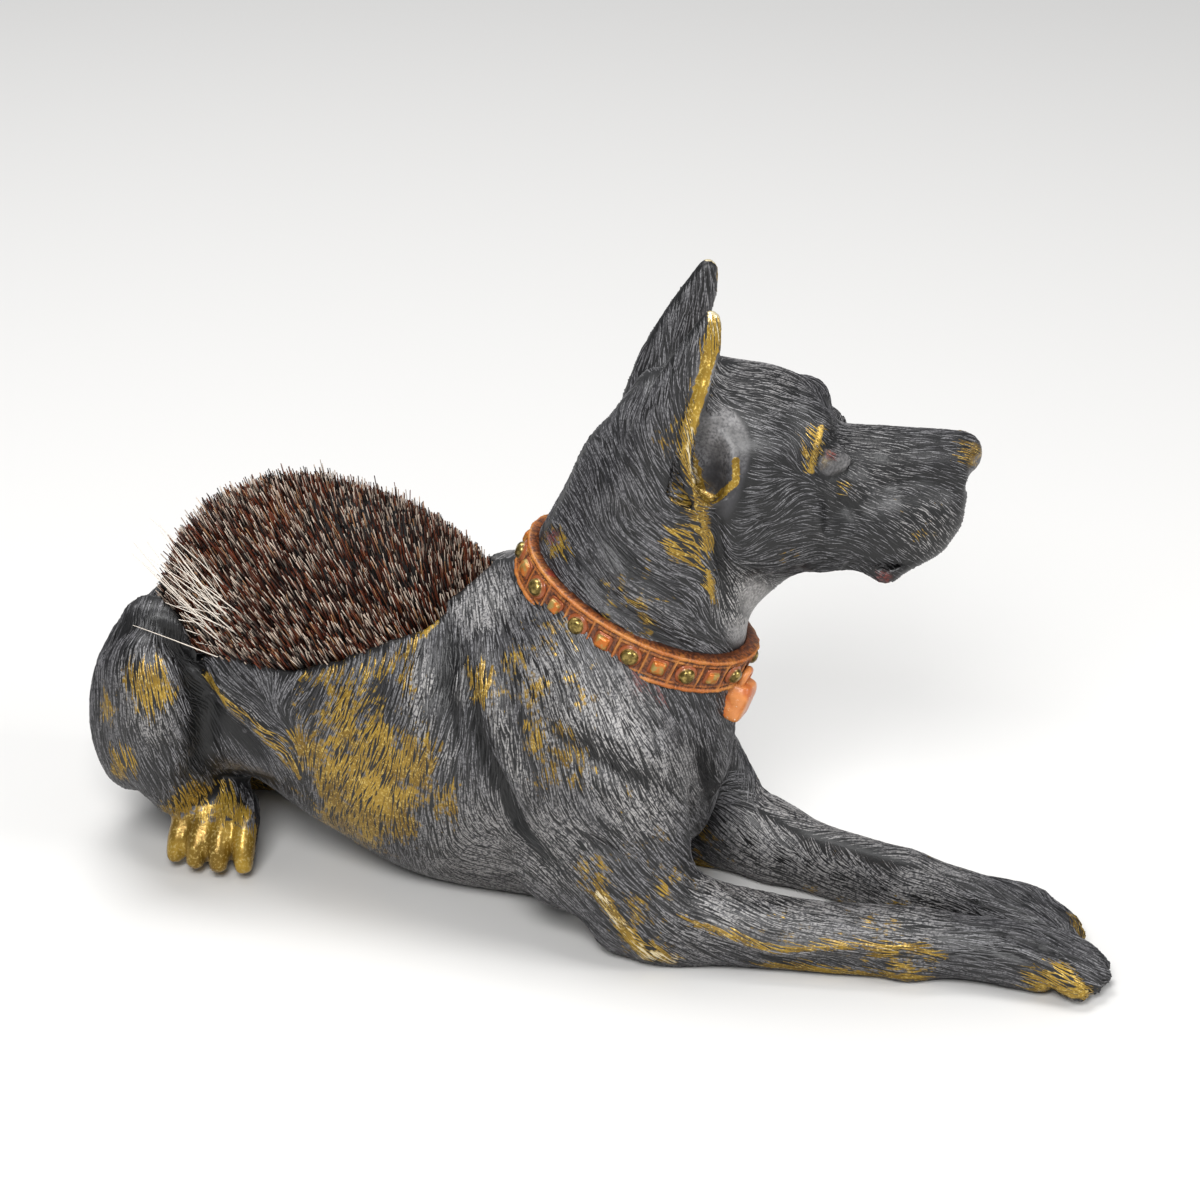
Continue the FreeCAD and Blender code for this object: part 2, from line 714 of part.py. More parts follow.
# Lock: a small block on the throat below the strap, with its shackle up to the strap.
def lock():
    face = collar_neck_depth / 2 + strap_thickness
    low = -half_strap - shackle_height - lock_height
    block = Part.makeBox(lock_proud + strap_thickness, lock_width, lock_height,
                         Vec(face - strap_thickness, -lock_width / 2, low))
    shackle = Part.makeBox(lock_proud / 2 + strap_thickness, shackle_width, shackle_height + edge_bead_width,
                           Vec(face - strap_thickness, -shackle_width / 2, low + lock_height))
    return one_solid(placed(block.fuse(shackle), collar_place).cut(collar).cut(torso_block))


save("collar_lock", lock())


# Tuft places on the stock: rows along the opening, each shifted by half a pitch.
def tuft_places(row):
    row_pitch = tuft_pitch * math.sqrt(3) / 2
    y = (row - (row_count - 1) / 2.0) * row_pitch
    long_half = opening_length / 2 - brush_clearance - tuft_edge_margin
    wide_half = opening_width / 2 - brush_clearance - tuft_edge_margin
    if abs(y) >= wide_half:
        return []
    shift = tuft_pitch / 2 if row % 2 else 0.0
    extent = long_half * math.sqrt(1 - (y / wide_half) ** 2)
    count = int(extent / tuft_pitch) + 1
    spots = []
    for step in range(-count, count + 1):
        x = step * tuft_pitch + shift
        if abs(x) <= extent:
            spots.append((x, y))
    return spots


def stock():
    block = oval_prism(opening_length - 2 * brush_clearance, opening_width - 2 * brush_clearance,
                       stock_bottom, stock_top)
    holes = []
    for row in range(row_count):
        for x, y in tuft_places(row):
            foot = Vec(x, y, stock_top - tuft_hole_depth)
            holes.append(Part.makeCylinder(tuft_hole_diameter / 2, tuft_hole_depth + 1, foot))
    return one_solid(placed(block.cut(Part.makeCompound(holes)), brush_place))


save("brush_stock", stock())


# How far above the stock a flaring bristle that starts at x, y meets the dome: an
# ellipsoid centred on the stock's top face, as a share of its height.
def dome_share(x, y):
    spread = (2 * x / dome_length) ** 2 + (2 * y / dome_width) ** 2
    square = 1 + spread * bristle_flare ** 2
    linear = 2 * spread * bristle_flare
    return (math.sqrt(linear ** 2 - 4 * square * (spread - 1)) - linear) / (2 * square)


def bristle_end(x, y):
    share = dome_share(x, y)
    flare = 1 + bristle_flare * share
    return Vec(flare * x, flare * y, stock_top + share * bristle_height)


def flat_face(corners):
    return Part.Face(Part.makePolygon(corners + corners[:1]))


# A tuft: a six-sided bundle that flares from the stock up to the dome, on a round foot.
def tuft(x, y):
    radius = (tuft_pitch - tuft_spacing) / math.sqrt(3)
    base = []
    ends = []
    for corner in range(6):
        turn = math.pi * (corner / 3.0 + 1.0 / 6.0)
        corner_x = x + radius * math.cos(turn)
        corner_y = y + radius * math.sin(turn)
        base.append(Vec(corner_x, corner_y, stock_top))
        ends.append(bristle_end(corner_x, corner_y))
    crown = bristle_end(x, y)
    faces = [flat_face(base)]
    for corner in range(6):
        after = (corner + 1) % 6
        faces.append(flat_face([base[corner], base[after], ends[after], ends[corner]]))
        faces.append(flat_face([ends[corner], ends[after], crown]))
    bundle = Part.Solid(Part.makeShell(faces))
    if bundle.Volume < 0:
        bundle.reverse()
    foot = Part.makeCylinder(tuft_hole_diameter / 2 - tuft_clearance, tuft_hole_depth,
                             Vec(x, y, stock_top - tuft_hole_depth))
    return one_solid(bundle.fuse(foot))


for row in range(row_count):
    bundles = [placed(tuft(x, y), brush_place) for x, y in tuft_places(row)]
    save("bristle_row_%d" % (row + 1), Part.makeCompound(bundles))
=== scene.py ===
import math
import bpy
import numpy as np
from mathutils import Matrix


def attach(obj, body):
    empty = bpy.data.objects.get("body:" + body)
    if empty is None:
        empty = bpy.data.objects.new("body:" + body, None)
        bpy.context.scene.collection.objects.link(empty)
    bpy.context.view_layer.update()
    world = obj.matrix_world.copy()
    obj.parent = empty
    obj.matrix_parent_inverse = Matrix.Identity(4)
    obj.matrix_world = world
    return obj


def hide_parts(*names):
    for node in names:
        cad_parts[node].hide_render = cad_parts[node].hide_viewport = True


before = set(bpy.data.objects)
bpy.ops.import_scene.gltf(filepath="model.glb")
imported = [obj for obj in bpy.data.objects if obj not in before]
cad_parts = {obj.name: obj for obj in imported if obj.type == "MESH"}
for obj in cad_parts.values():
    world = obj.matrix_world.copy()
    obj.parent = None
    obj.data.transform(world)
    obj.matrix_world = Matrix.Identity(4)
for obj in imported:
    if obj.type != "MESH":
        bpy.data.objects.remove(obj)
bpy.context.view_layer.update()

import openvdb as vdb
from mathutils import Vector

millimetre = 0.001
draw = np.random.default_rng(326)

# The photograph's camera, in millimetres and in pixels of a 1200 by 1200 frame.
camera = {
    "azimuth": 20.0,
    "elevation": 24.0,
    "distance": 520.0,
    "mmPerPixel": 0.1155,   # at the distance of the look-at point
    "lookPixel": (530.0, 880.0),   # where the frame's origin is seen
    "imageWidth": 1200.0,
}


def cameraAxes():
    turn = math.radians(camera["azimuth"])
    rise = math.radians(camera["elevation"])
    back = np.array([math.sin(turn) * math.cos(rise), -math.cos(turn) * math.cos(rise), math.sin(rise)])
    right = np.array([math.cos(turn), math.sin(turn), 0.0])
    return right, np.cross(back, right), back


cameraRight, cameraUp, cameraBack = cameraAxes()
focalPixels = camera["distance"] / camera["mmPerPixel"]
middlePixel = camera["imageWidth"] / 2
cameraPlace = camera["distance"] * cameraBack - camera["mmPerPixel"] * (
    (camera["lookPixel"][0] - middlePixel) * cameraRight - (camera["lookPixel"][1] - middlePixel) * cameraUp)


# Where points in millimetres are seen in the photograph: columns u and v.
def toPixels(points):
    away = points - cameraPlace
    depth = -(away @ cameraBack)
    u = middlePixel + focalPixels * (away @ cameraRight) / depth
    v = middlePixel - focalPixels * (away @ cameraUp) / depth
    return np.stack([u, v], axis=1)


# Monotone cubic through the values: each column's slope is the harmonic mean of its neighbours.
def calmCurve(places, values, at):
    gaps = np.diff(places)[:, None]
    rises = np.diff(values, axis=0) / gaps
    product = rises[:-1] * rises[1:]
    total = rises[:-1] + rises[1:]
    inner = np.where(product > 0, 2 * product / np.where(product > 0, total, 1.0), 0.0)
    slopes = np.vstack([rises[:1], inner, rises[-1:]])
    index = np.clip(np.searchsorted(places, at, side="right") - 1, 0, len(places) - 2)
    gap = gaps[index]
    t = ((at - places[index]) / gap[:, 0])[:, None]
    return (values[index] * (1 + 2 * t) * (1 - t) ** 2 + values[index + 1] * t * t * (3 - 2 * t)
            + gap * (slopes[index] * t * (1 - t) ** 2 - slopes[index + 1] * t * t * (1 - t)))


# Rows (x, y, z, width, height, tilt) filled in every spacing millimetres and domed at the ends.
def fillRows(rows, domes, spacing=0.7):
    rows = np.array(rows, dtype=float)
    steps = np.linalg.norm(np.diff(rows[:, :3], axis=0), axis=1)
    places = np.concatenate([[0.0], np.cumsum(steps)])
    fine = calmCurve(places, rows, np.linspace(0.0, places[-1], max(int(places[-1] / spacing), 8)))
    shares = np.sin(np.linspace(0.2, 1.45, 7))
    for end, length in ((1, domes[1]), (0, domes[0])):
        if length > 0:
            last, before = (fine[-1], fine[-2]) if end else (fine[0], fine[1])
            along = (last - before)[:3] / np.linalg.norm((last - before)[:3])
            cap = np.repeat(last[None, :], len(shares), axis=0)
            cap[:, :3] += shares[:, None] * length * along
            cap[:, 3:5] *= np.sqrt(1 - shares ** 2)[:, None]
            fine = np.vstack([fine, cap]) if end else np.vstack([cap[::-1], fine])
    return fine


# Closed tube: an egg of the row's width and height at each row, where width lies across.
# The egg is (w cos t (1 + fullness sin t), h sin t), squared off by the power.
def tube(rows, across=None, upright=False, domes=(0.0, 0.0), fullness=0.0, power=1.0, around=48):
    fine = fillRows(rows, domes)
    centre = fine[:, :3]
    if upright:
        side = np.tile([0.0, 1.0, 0.0], (len(fine), 1))
        lift = np.tile([0.0, 0.0, 1.0], (len(fine), 1))
    elif fine.shape[1] > 5:
        lean = np.radians(fine[:, 5])
        side = np.tile([0.0, 1.0, 0.0], (len(fine), 1))
        lift = np.stack([np.cos(lean), 0 * lean, -np.sin(lean)], axis=1)
    else:
        along = np.gradient(centre, axis=0)
        along /= np.linalg.norm(along, axis=1)[:, None]
        side = np.array(across, dtype=float) - along * (along @ np.array(across, dtype=float))[:, None]
        side /= np.linalg.norm(side, axis=1)[:, None]
        lift = np.cross(along, side)
    turn = np.linspace(0.0, 2 * np.pi, around, endpoint=False)
    cosine = np.sign(np.cos(turn)) * np.abs(np.cos(turn)) ** power
    sine = np.sign(np.sin(turn)) * np.abs(np.sin(turn)) ** power
    sideways = 0.5 * fine[:, 3:4] * (cosine * (1 + fullness * sine))[None, :]
    upwards = 0.5 * fine[:, 4:5] * sine[None, :]
    points = (centre[:, None, :] + sideways[:, :, None] * side[:, None, :]
              + upwards[:, :, None] * lift[:, None, :])
    count = len(fine)
    grid = np.arange(count * around).reshape(count, around)
    after = np.roll(grid, -1, axis=1)
    quads = np.stack([grid[:-1], after[:-1], after[1:], grid[1:]], axis=-1).reshape(-1, 4)
    ends = np.array([centre[0], centre[-1]])
    first = np.stack([after[0], grid[0], np.full(around, count * around)], axis=-1)
    final = np.stack([grid[-1], after[-1], np.full(around, count * around + 1)], axis=-1)
    return np.vstack([points.reshape(-1, 3), ends]), quads, np.vstack([first, final])


voxel = 0.5
band = 8.0   # voxels on each side of a surface in which its distance is known


# A block of voxels, in millimetres, that holds distances to the surfaces put into it.
class Field:
    def __init__(self, low, high):
        self.low = np.array(low, dtype=float)
        self.counts = np.ceil((np.array(high) - self.low) / voxel).astype(int)
        self.values = np.full(self.counts, band * voxel, dtype=np.float32)

    # The part of the block around the points, as slices and the place of its first voxel.
    def around(self, points, margin):
        first = np.floor((points.min(axis=0) - margin - self.low) / voxel).astype(int)
        last = np.ceil((points.max(axis=0) + margin - self.low) / voxel).astype(int)
        first = np.clip(first, 0, self.counts)
        last = np.clip(last, 0, self.counts)
        return tuple(slice(a, b) for a, b in zip(first, last)), first, last - first

    def ofShape(self, shape):
        points, quads, tris = shape
        window, first, counts = self.around(points, band * voxel)
        local = ((points - self.low) / voxel).astype(np.float32)
        grid = vdb.FloatGrid.createLevelSetFromPolygons(
            local, triangles=tris.astype(np.uint32), quads=quads.astype(np.uint32),
            transform=vdb.createLinearTransform(voxelSize=1.0), halfWidth=band)
        dense = np.empty(counts, dtype=np.float32)
        grid.copyToArray(dense, ijk=tuple(int(i) for i in first))
        return window, dense * voxel

    def places(self, window):
        axes = [self.low[i] + voxel * np.arange(window[i].start, window[i].stop) for i in range(3)]
        return np.stack(np.meshgrid(*axes, indexing="ij"), axis=-1)

    # Distance to an ellipsoid whose axes are the columns of frame.
    def ofBall(self, centre, radii, axes):
        centre, radii = np.array(centre, dtype=float), np.array(radii, dtype=float)
        corners = np.array([centre - radii.max(), centre + radii.max()])
        window, _, _ = self.around(corners, 3.0)
        local = (self.places(window) - centre) @ axes
        first = np.linalg.norm(local / radii, axis=-1)
        second = np.linalg.norm(local / radii ** 2, axis=-1)
        return window, (first * (first - 1) / np.maximum(second, 1e-6)).astype(np.float32)

    # Distance to a cord through the points with a radius at each of them.
    def ofCord(self, points, radii):
        points = np.array(points, dtype=float)
        radii = np.broadcast_to(np.array(radii, dtype=float), len(points))
        window, _, _ = self.around(points, radii.max() + 3.0)
        here = self.places(window)
        nearest = np.full(here.shape[:3], 99.0)
        for start, end, startRadius, endRadius in zip(points, points[1:], radii, radii[1:]):
            along = end - start
            share = np.clip(((here - start) @ along) / (along @ along), 0, 1)
            gap = np.linalg.norm(here - start - share[..., None] * along, axis=-1)
            nearest = np.minimum(nearest, gap - startRadius - share * (endRadius - startRadius))
        return window, nearest.astype(np.float32)

    # Adds a shape, with a soft seam of the width given; carve takes one away.
    def join(self, found, blend):
        window, other = found
        mine = self.values[window]
        share = np.clip(0.5 + 0.5 * (mine - other) / blend, 0, 1)
        self.values[window] = mine + share * (other - mine) - blend * share * (1 - share)

    def carve(self, found, blend):
        window, other = found
        mine = self.values[window]
        share = np.clip(0.5 + 0.5 * (mine + other) / blend, 0, 1)
        share = 1 - share
        self.values[window] = mine + share * (-other - mine) + blend * share * (1 - share)

    def clip(self, point, normal):
        window = tuple(slice(0, n) for n in self.counts)
        side = (self.places(window) - np.array(point)) @ np.array(normal)
        self.values = np.maximum(self.values, side.astype(np.float32))

    # Distances at points, between the voxels.
    def at(self, points):
        share = (points - self.low) / voxel
        first = np.clip(np.floor(share).astype(int), 0, self.counts - 2)
        share = np.clip(share - first, 0, 1)
        total = np.zeros(len(points))
        for corner in np.ndindex(2, 2, 2):
            weight = np.prod(np.where(np.array(corner), share, 1 - share), axis=1)
            total += weight * self.values[tuple((first + corner).T)]
        return total

    def facing(self, points, reach=0.45):
        steps = reach * np.eye(3)
        slope = np.stack([self.at(points + step) - self.at(points - step) for step in steps], axis=1)
        return slope / np.maximum(np.linalg.norm(slope, axis=1), 1e-9)[:, None]

    # The surface as points and quads, refined once.
    def surface(self):
        grid = vdb.FloatGrid(band * voxel)
        grid.copyFromArray(self.values)
        points, tris, quads = grid.convertToPolygons(0.0, 0.0)
        mesh = bpy.data.meshes.new("rough")
        mesh.from_pydata(points * voxel + self.low, [], quads.tolist() + tris.tolist())
        rough = bpy.data.objects.new("rough", mesh)
        bpy.context.scene.collection.objects.link(rough)
        finer = rough.modifiers.new("finer", "SUBSURF")
        finer.levels = 1
        made = rough.evaluated_get(bpy.context.evaluated_depsgraph_get()).to_mesh()
        fine = np.empty(3 * len(made.vertices), dtype=np.float32)
        made.vertices.foreach_get("co", fine)
        faces = np.empty(4 * len(made.polygons), dtype=np.int32)
        made.loops.foreach_get("vertex_index", faces)
        bpy.data.objects.remove(rough)
        bpy.data.meshes.remove(mesh)
        return fine.reshape(-1, 3).astype(float), faces.reshape(-1, 4)


upright = np.eye(3)


# Axes turned about the upright by yaw, then nodded by pitch, in degrees.
def leaning(yaw=0.0, pitch=0.0):
    a, b = math.radians(yaw), math.radians(pitch)
    about = np.array([[math.cos(a), -math.sin(a), 0], [math.sin(a), math.cos(a), 0], [0, 0, 1.0]])
    nod = np.array([[math.cos(b), 0, -math.sin(b)], [0, 1.0, 0], [math.sin(b), 0, math.cos(b)]])
    return about @ nod


headPivot = np.array([13.0, 0.0, 0.0])
headTurn = 20.0
headAxes = leaning(headTurn)


# Points given in the head's own frame (forward, to its left, up), in the shared frame.
def fromHead(points):
    return np.array(points, dtype=float) @ headAxes.T + headPivot


collarCentre = np.array([13.1, 0.0, 37.3])
collarTilt = math.radians(24.4)
collarForward = np.array([math.cos(collarTilt), 0.0, -math.sin(collarTilt)])
collarUp = np.array([math.sin(collarTilt), 0.0, math.cos(collarTilt)])
brushCentre = np.array([-24.75, 0.0, 34.7])
brushTilt = math.radians(13.0)
brushForward = np.array([math.cos(brushTilt), 0.0, math.sin(brushTilt)])
brushUp = np.array([-math.sin(brushTilt), 0.0, math.cos(brushTilt)])

body = Field((-60.0, -23.0, -1.5), (76.0, 31.0, 50.0))
across = (0.0, 1.0, 0.0)
owners = {}   # for each piece, distances to its own masses


def own(name, found):
    if name not in owners:
        owners[name] = np.full(body.counts, band * voxel, dtype=np.float32)
    window, other = found
    owners[name][window] = np.minimum(owners[name][window], other)


def add(name, shape, blend):
    found = body.ofShape(shape)
    own(name, found)
    body.join(found, blend)


def addBall(name, centre, radii, blend, axes=upright):
    found = body.ofBall(centre, radii, axes)
    own(name, found)
    body.join(found, blend)


# Torso: eggs from the keel to the back, then the neck up to the collar.
torsoRows = [
    (-48.8, 0, 15.8, 20.0, 23.4), (-43.0, 0, 18.3, 25.2, 27.8), (-33.0, 0, 21.4, 26.0, 24.8),
    (-24.0, 0, 19.9, 27.6, 30.6), (-12.0, 0, 18.6, 30.0, 37.6), (0.0, 0, 19.8, 30.8, 40.8),
    (10.0, 0, 19.9, 29.2, 40.3), (16.4, 0, 20.3, 24.0, 31.4), (20.2, 0, 20.5, 18.0, 22.0)]
add("torso", tube(torsoRows, upright=True, domes=(4.8, 2.2), fullness=0.16), 1.0)
neckRows = [(8.8, 0, 23.0, 26.0, 28.5, 24.4), (13.1, 0, 37.3, 21.4, 26.4, 24.4),
            (15.5, 0, 47.3, 19.2, 22.0, 20.7)]
add("torso", tube(neckRows), 3.5)
addBall("torso", (18.6, 0.0, 21.0), (4.2, 5.0, 7.6), 3.0)


def foreleg(name, side, setback):
    def at(rows):
        return [(x - setback, side * y, z, w, h) for x, y, z, w, h in rows]

    add(name, tube(at([
        (6.0, 8.6, 36.8, 6.0, 9.0), (9.4, 10.6, 28.4, 9.4, 17.0), (13.0, 11.2, 20.0, 11.0, 18.6),
        (16.2, 12.2, 12.0, 10.2, 15.2), (18.6, 12.8, 4.8, 8.2, 10.4)]), across, domes=(2.0, 2.6)), 3.0)
    add(name, tube(at([
        (16.6, 12.6, 5.4, 7.4, 10.2), (21.0, 12.2, 5.2, 8.6, 11.4), (28.0, 10.8, 4.7, 7.8, 9.0),
        (38.0, 8.7, 4.0, 7.2, 7.8), (47.6, 6.4, 3.9, 7.0, 8.0), (53.0, 5.4, 3.9, 6.8, 6.8),
        (58.0, 4.6, 3.5, 7.4, 6.6), (62.4, 4.3, 2.8, 7.6, 5.6)]), across, domes=(4.6, 2.0), power=0.92), 2.5)
    # point of the shoulder, muscle over the elbow and bone of the wrist
    addBall(name, (15.2 - setback, side * 12.6, 21.0), (5.0, 3.6, 8.0), 3.0, leaning(0, -20))
    addBall(name, (10.0 - setback, side * 13.6, 12.0), (6.4, 3.0, 7.4), 3.0, leaning(0, -35))
    addBall(name, (47.4 - setback, side * 7.0, 3.6), (3.2, 3.6, 3.4), 1.6)
    for index in range(4):
        share = (index - 1.5) / 3
        spread = side * share
        reach = 0.9 - 3.0 * abs(share + 0.12) ** 1.5
        toe = [(57.6, 4.6, 5.0, 2.0, 2.6), (62.4, 4.3, 4.5, 2.5, 3.2), (65.6 + reach, 4.2, 3.1, 2.5, 3.2),
               (67.6 + reach, 4.1, 1.7, 2.1, 2.4)]
        rows = [(x - setback, side * y + spread * (5.0 + 1.4 * step / 3), z, w, h)
                for step, (x, y, z, w, h) in enumerate(toe)]
        add(name, tube(rows, across, domes=(0.8, 1.0), around=24), 0.55)


foreleg("rightForeleg", -1, 0.0)
foreleg("leftForeleg", 1, 4.6)
# the left upper arm comes further forward than the right one
add("leftForeleg", tube([
    (14.6, 8.6, 20.6, 7.4, 8.4), (18.0, 10.2, 13.4, 8.0, 8.6), (21.6, 10.8, 7.2, 8.2, 8.4),
    (26.6, 10.2, 4.4, 7.6, 7.6)],
    across, domes=(2.6, 3.0)), 2.6)


# Right hind leg: the raised haunch, and the foot turned out under it.
add("rightHindLeg", tube([
    (-41.0, -9.2, 30.0, 9.4, 9.6), (-41.4, -10.6, 22.5, 11.6, 12.2), (-41.0, -10.2, 15.6, 10.6, 11.6),
    (-40.2, -7.4, 8.8, 8.0, 8.0)], across, domes=(3.5, 2.5)), 1.2)
addBall("rightHindLeg", (-44.0, -11.6, 15.4), (2.8, 3.0, 3.4), 1.6)
addBall("rightHindLeg", (-41.6, -12.4, 24.0), (4.6, 3.4, 7.6), 2.2)
add("rightHindLeg", tube([
    (-38.2, -2.5, 8.0, 7.2, 6.4), (-36.6, -5.8, 6.2, 8.2, 7.0), (-35.2, -9.2, 3.4, 9.0, 6.2)],
    (1.0, 0, 0), domes=(0.0, 2.4)), 1.6)
for index in range(4):
    share = (index - 1.5) / 3
    reach = 0.9 - 2.6 * abs(share) ** 1.6
    rows = [(-35.6 + 5.6 * share, -5.4, 7.2, 2.3, 3.0), (-35.4 + 7.4 * share, -8.4, 6.4, 2.7, 3.4),
            (-35.3 + 8.2 * share, -10.6 - reach, 3.8, 2.6, 3.2),
            (-35.2 + 8.6 * share, -11.6 - reach, 1.9, 2.1, 2.6)]
    add("rightHindLeg", tube(rows, (1.0, 0, 0), domes=(0.8, 0.9), around=24), 0.5)

# Left hind leg: the haunch low on the table and the foot stretched forward beside it.
add("leftHindLeg", tube([
    (-41.0, 8.8, 24.7, 9.2, 13.4), (-41.0, 11.2, 15.0, 11.4, 19.0), (-39.8, 11.2, 6.9, 10.8, 18.0),
    (-38.6, 10.8, 2.5, 7.4, 12.0)], across, domes=(4.0, 0.0)), 2.0)
add("leftHindLeg", tube([
    (-50.5, 9.0, 2.9, 6.2, 6.4), (-38.0, 12.0, 2.9, 6.4, 5.8), (-26.0, 15.0, 2.9, 7.8, 6.4),
    (-23.0, 15.0, 2.4, 7.4, 5.2)], across, domes=(3.2, 2.0)), 1.6)
for index in range(4):
    share = (index - 1.5) / 3
    reach = 0.9 - 2.6 * abs(share) ** 1.6
    rows = [(-27.0, 15.0 + 5.0 * share, 4.6, 2.2, 2.8), (-24.0, 15.0 + 6.2 * share, 4.2, 2.5, 3.0),
            (-21.6 + reach, 15.0 + 6.8 * share, 2.6, 2.4, 2.8),
            (-20.6 + reach, 15.0 + 7.0 * share, 1.6, 2.0, 2.2)]
    add("leftHindLeg", tube(rows, across, domes=(0.8, 0.9), around=24), 0.5)

# Tail: out of the rump and forward along the left side.
add("tail", tube([
    (-47.8, 2.0, 16.0, 6.2, 6.2), (-50.3, 8.6, 11.0, 5.8, 5.8), (-48.3, 16.2, 5.0, 5.3, 5.3),
    (-42.3, 21.6, 2.2, 4.6, 4.6), (-30.5, 24.5, 2.1, 4.2, 4.2), (-18.0, 24.0, 1.3, 2.4, 2.4)],
    (0, 0, 1.0), domes=(0.0, 1.2), around=24), 1.2)


# An oval prism between two heights in a frame of its own, for cutting.
def ovalPrism(centre, forward, up, length, width, low, high, around=96):
    turn = np.linspace(0, 2 * np.pi, around, endpoint=False)
    sideways = np.cross(up, forward)
    ring = 0.5 * length * np.cos(turn)[:, None] * forward + 0.5 * width * np.sin(turn)[:, None] * sideways
    ends = [centre + low * up, centre + high * up]
    points = np.vstack([centre + ring + low * up, centre + ring + high * up, ends])
    this = np.arange(around)
    after = np.roll(this, -1)
    quads = np.stack([this, after, after + around, this + around], axis=1)
    caps = np.vstack([np.stack([after, this, np.full(around, 2 * around)], axis=1),
                      np.stack([this + around, after + around, np.full(around, 2 * around + 1)], axis=1)])
    return points, quads, caps


# the flank falls in between the ribs and each haunch
for side in (-1, 1):
    body.carve(body.ofBall((-30.8, side * 16.4, 17.0), (4.2, 4.4, 8.0), leaning(side * 12, 0)), 3.0)
body.carve(body.ofShape(ovalPrism(brushCentre, brushForward, brushUp, 41.6, 24.0, -14.6, 40.0)), 0.6)
# the haunches stand clear of the bristles, which spread past the opening
flareWindow, flare = body.ofShape(ovalPrism(brushCentre, brushForward, brushUp, 44.6, 27.4, -4.3, 40.0))
flare = np.maximum(flare, 7.0 - np.abs(body.places(flareWindow)[..., 1])).astype(np.float32)
body.carve((flareWindow, flare), 0.3)
body.carve(body.ofShape(ovalPrism(brushCentre, brushForward, brushUp, 36.2, 18.6, -19.6, -10.0)), 0.3)
body.clip((0, 0, 0), (0, 0, -1.0))
body.clip(collarCentre + 1.4 * collarUp, collarUp)
bodyPoints, bodyFaces = body.surface()
print("body surface", len(bodyPoints), len(bodyFaces), bodyPoints.min(axis=0), bodyPoints.max(axis=0))


# Head and upper neck, shaped in the head's own frame: forward, to its left, up.
skull = Field((-12.0, -13.0, 30.0), (42.0, 13.0, 79.0))


def headward(shape):
    points, quads, tris = shape
    return (points - headPivot) @ headAxes, quads, tris


# The neck stands in the shared frame, so its rows are turned into the head's frame.
skull.join(skull.ofShape(headward(tube([
    (11.1, 0, 31.6, 23.4, 27.2, 24.4), (13.1, 0, 37.3, 21.4, 26.4, 24.4), (15.5, 0, 47.3, 19.2, 22.0, 20.7),
    (17.2, 0, 54.2, 17.4, 19.8, 12.2), (18.6, 0, 58.6, 14.0, 16.0, 10.0)], domes=(0, 2.0)))), 0.5)
skull.join(skull.ofShape(tube([
    (2.4, 0, 58.0, 13.6, 12.8), (8.0, 0, 55.9, 16.4, 20.4), (13.5, 0, 54.9, 16.6, 20.4),
    (17.2, 0, 54.5, 15.4, 18.9),
    (19.4, 0, 53.8, 13.8, 17.6),
    (21.0, 0, 52.6, 12.4, 14.6)], upright=True, domes=(3.4, 1.0), power=0.97)), 3.0)
# muzzle with its flat bridge, deep lips, and the jaw under it
skull.join(skull.ofShape(tube([
    (17.0, 0, 52.8, 10.2, 11.6), (23.0, 0, 53.1, 9.2, 9.6), (29.0, 0, 53.0, 8.2, 9.2),
    (34.0, 0, 53.1, 7.4, 8.4),
    (35.6, 0, 53.7, 6.8, 7.0)], upright=True, domes=(2, 0.8), power=0.76)), 1.8)
for side in (-1, 1):
    skull.join(skull.ofShape(tube([
        (19.6, side * 4.6, 47.2, 5.0, 8.4), (23.4, side * 4.5, 47.6, 4.8, 8.8),
        (27.2, side * 4.3, 47.0, 4.8, 10.6),
        (30.6, side * 3.9, 47.9, 4.7, 9.4), (33.4, side * 3.1, 48.5, 4.6, 7.8),
        (34.9, side * 2.3, 49.2, 4.2, 5.6)],
        upright=True, domes=(2.0, 1.3))), 1.2)
    skull.join(skull.ofBall((27.3, side * 4.5, 42.8), (1.5, 1.3, 1.2), upright), 0.6)
    # cheek, brow, bone above the eye, and the mass between the ears
    skull.join(skull.ofBall((13.0, side * 6.4, 51.0), (6.6, 3.2, 7.6), leaning(side * 8, 0)), 3.0)
    skull.join(skull.ofBall((18.6, side * 4.4, 59.8), (2.6, 2.2, 2.4), leaning(side * -25, 10)), 1.6)
    # the edge of the eye's hollow stands up behind the eye
    skull.join(skull.ofCord([(19.6, side * 5.2, 60.4), (18.9, side * 6.6, 58.6), (18.6, side * 7.1, 56.4),
                             (19.2, side * 7.0, 54.4)], [0.6, 0.9, 0.9, 0.6]), 0.9)
    skull.join(skull.ofBall((16.0, side * 6.0, 58.0), (4.0, 2.0, 2.0), leaning(side * -16, -12)), 2.0)
    skull.join(skull.ofBall((22.6, side * 4.7, 53.2), (3.4, 1.5, 1.9), leaning(side * -20, -20)), 1.4)
skull.join(skull.ofShape(tube([
    (12.0, 0, 46.6, 12.0, 9.6), (20.0, 0, 45.0, 9.4, 6.8), (27.0, 0, 45.2, 7.2, 5.4),
    (32.2, 0, 46.8, 4.8, 4.0)],
    upright=True, domes=(3.0, 1.4))), 1.8)
# nose pad
skull.join(skull.ofBall((35.9, 0, 55.0), (1.9, 2.9, 2.1), leaning(0, -12)), 0.5)
skull.carve(skull.ofCord([(36.6, -3.4, 51.9), (36.6, 0, 51.8), (36.6, 3.4, 51.9)], 0.75), 0.6)
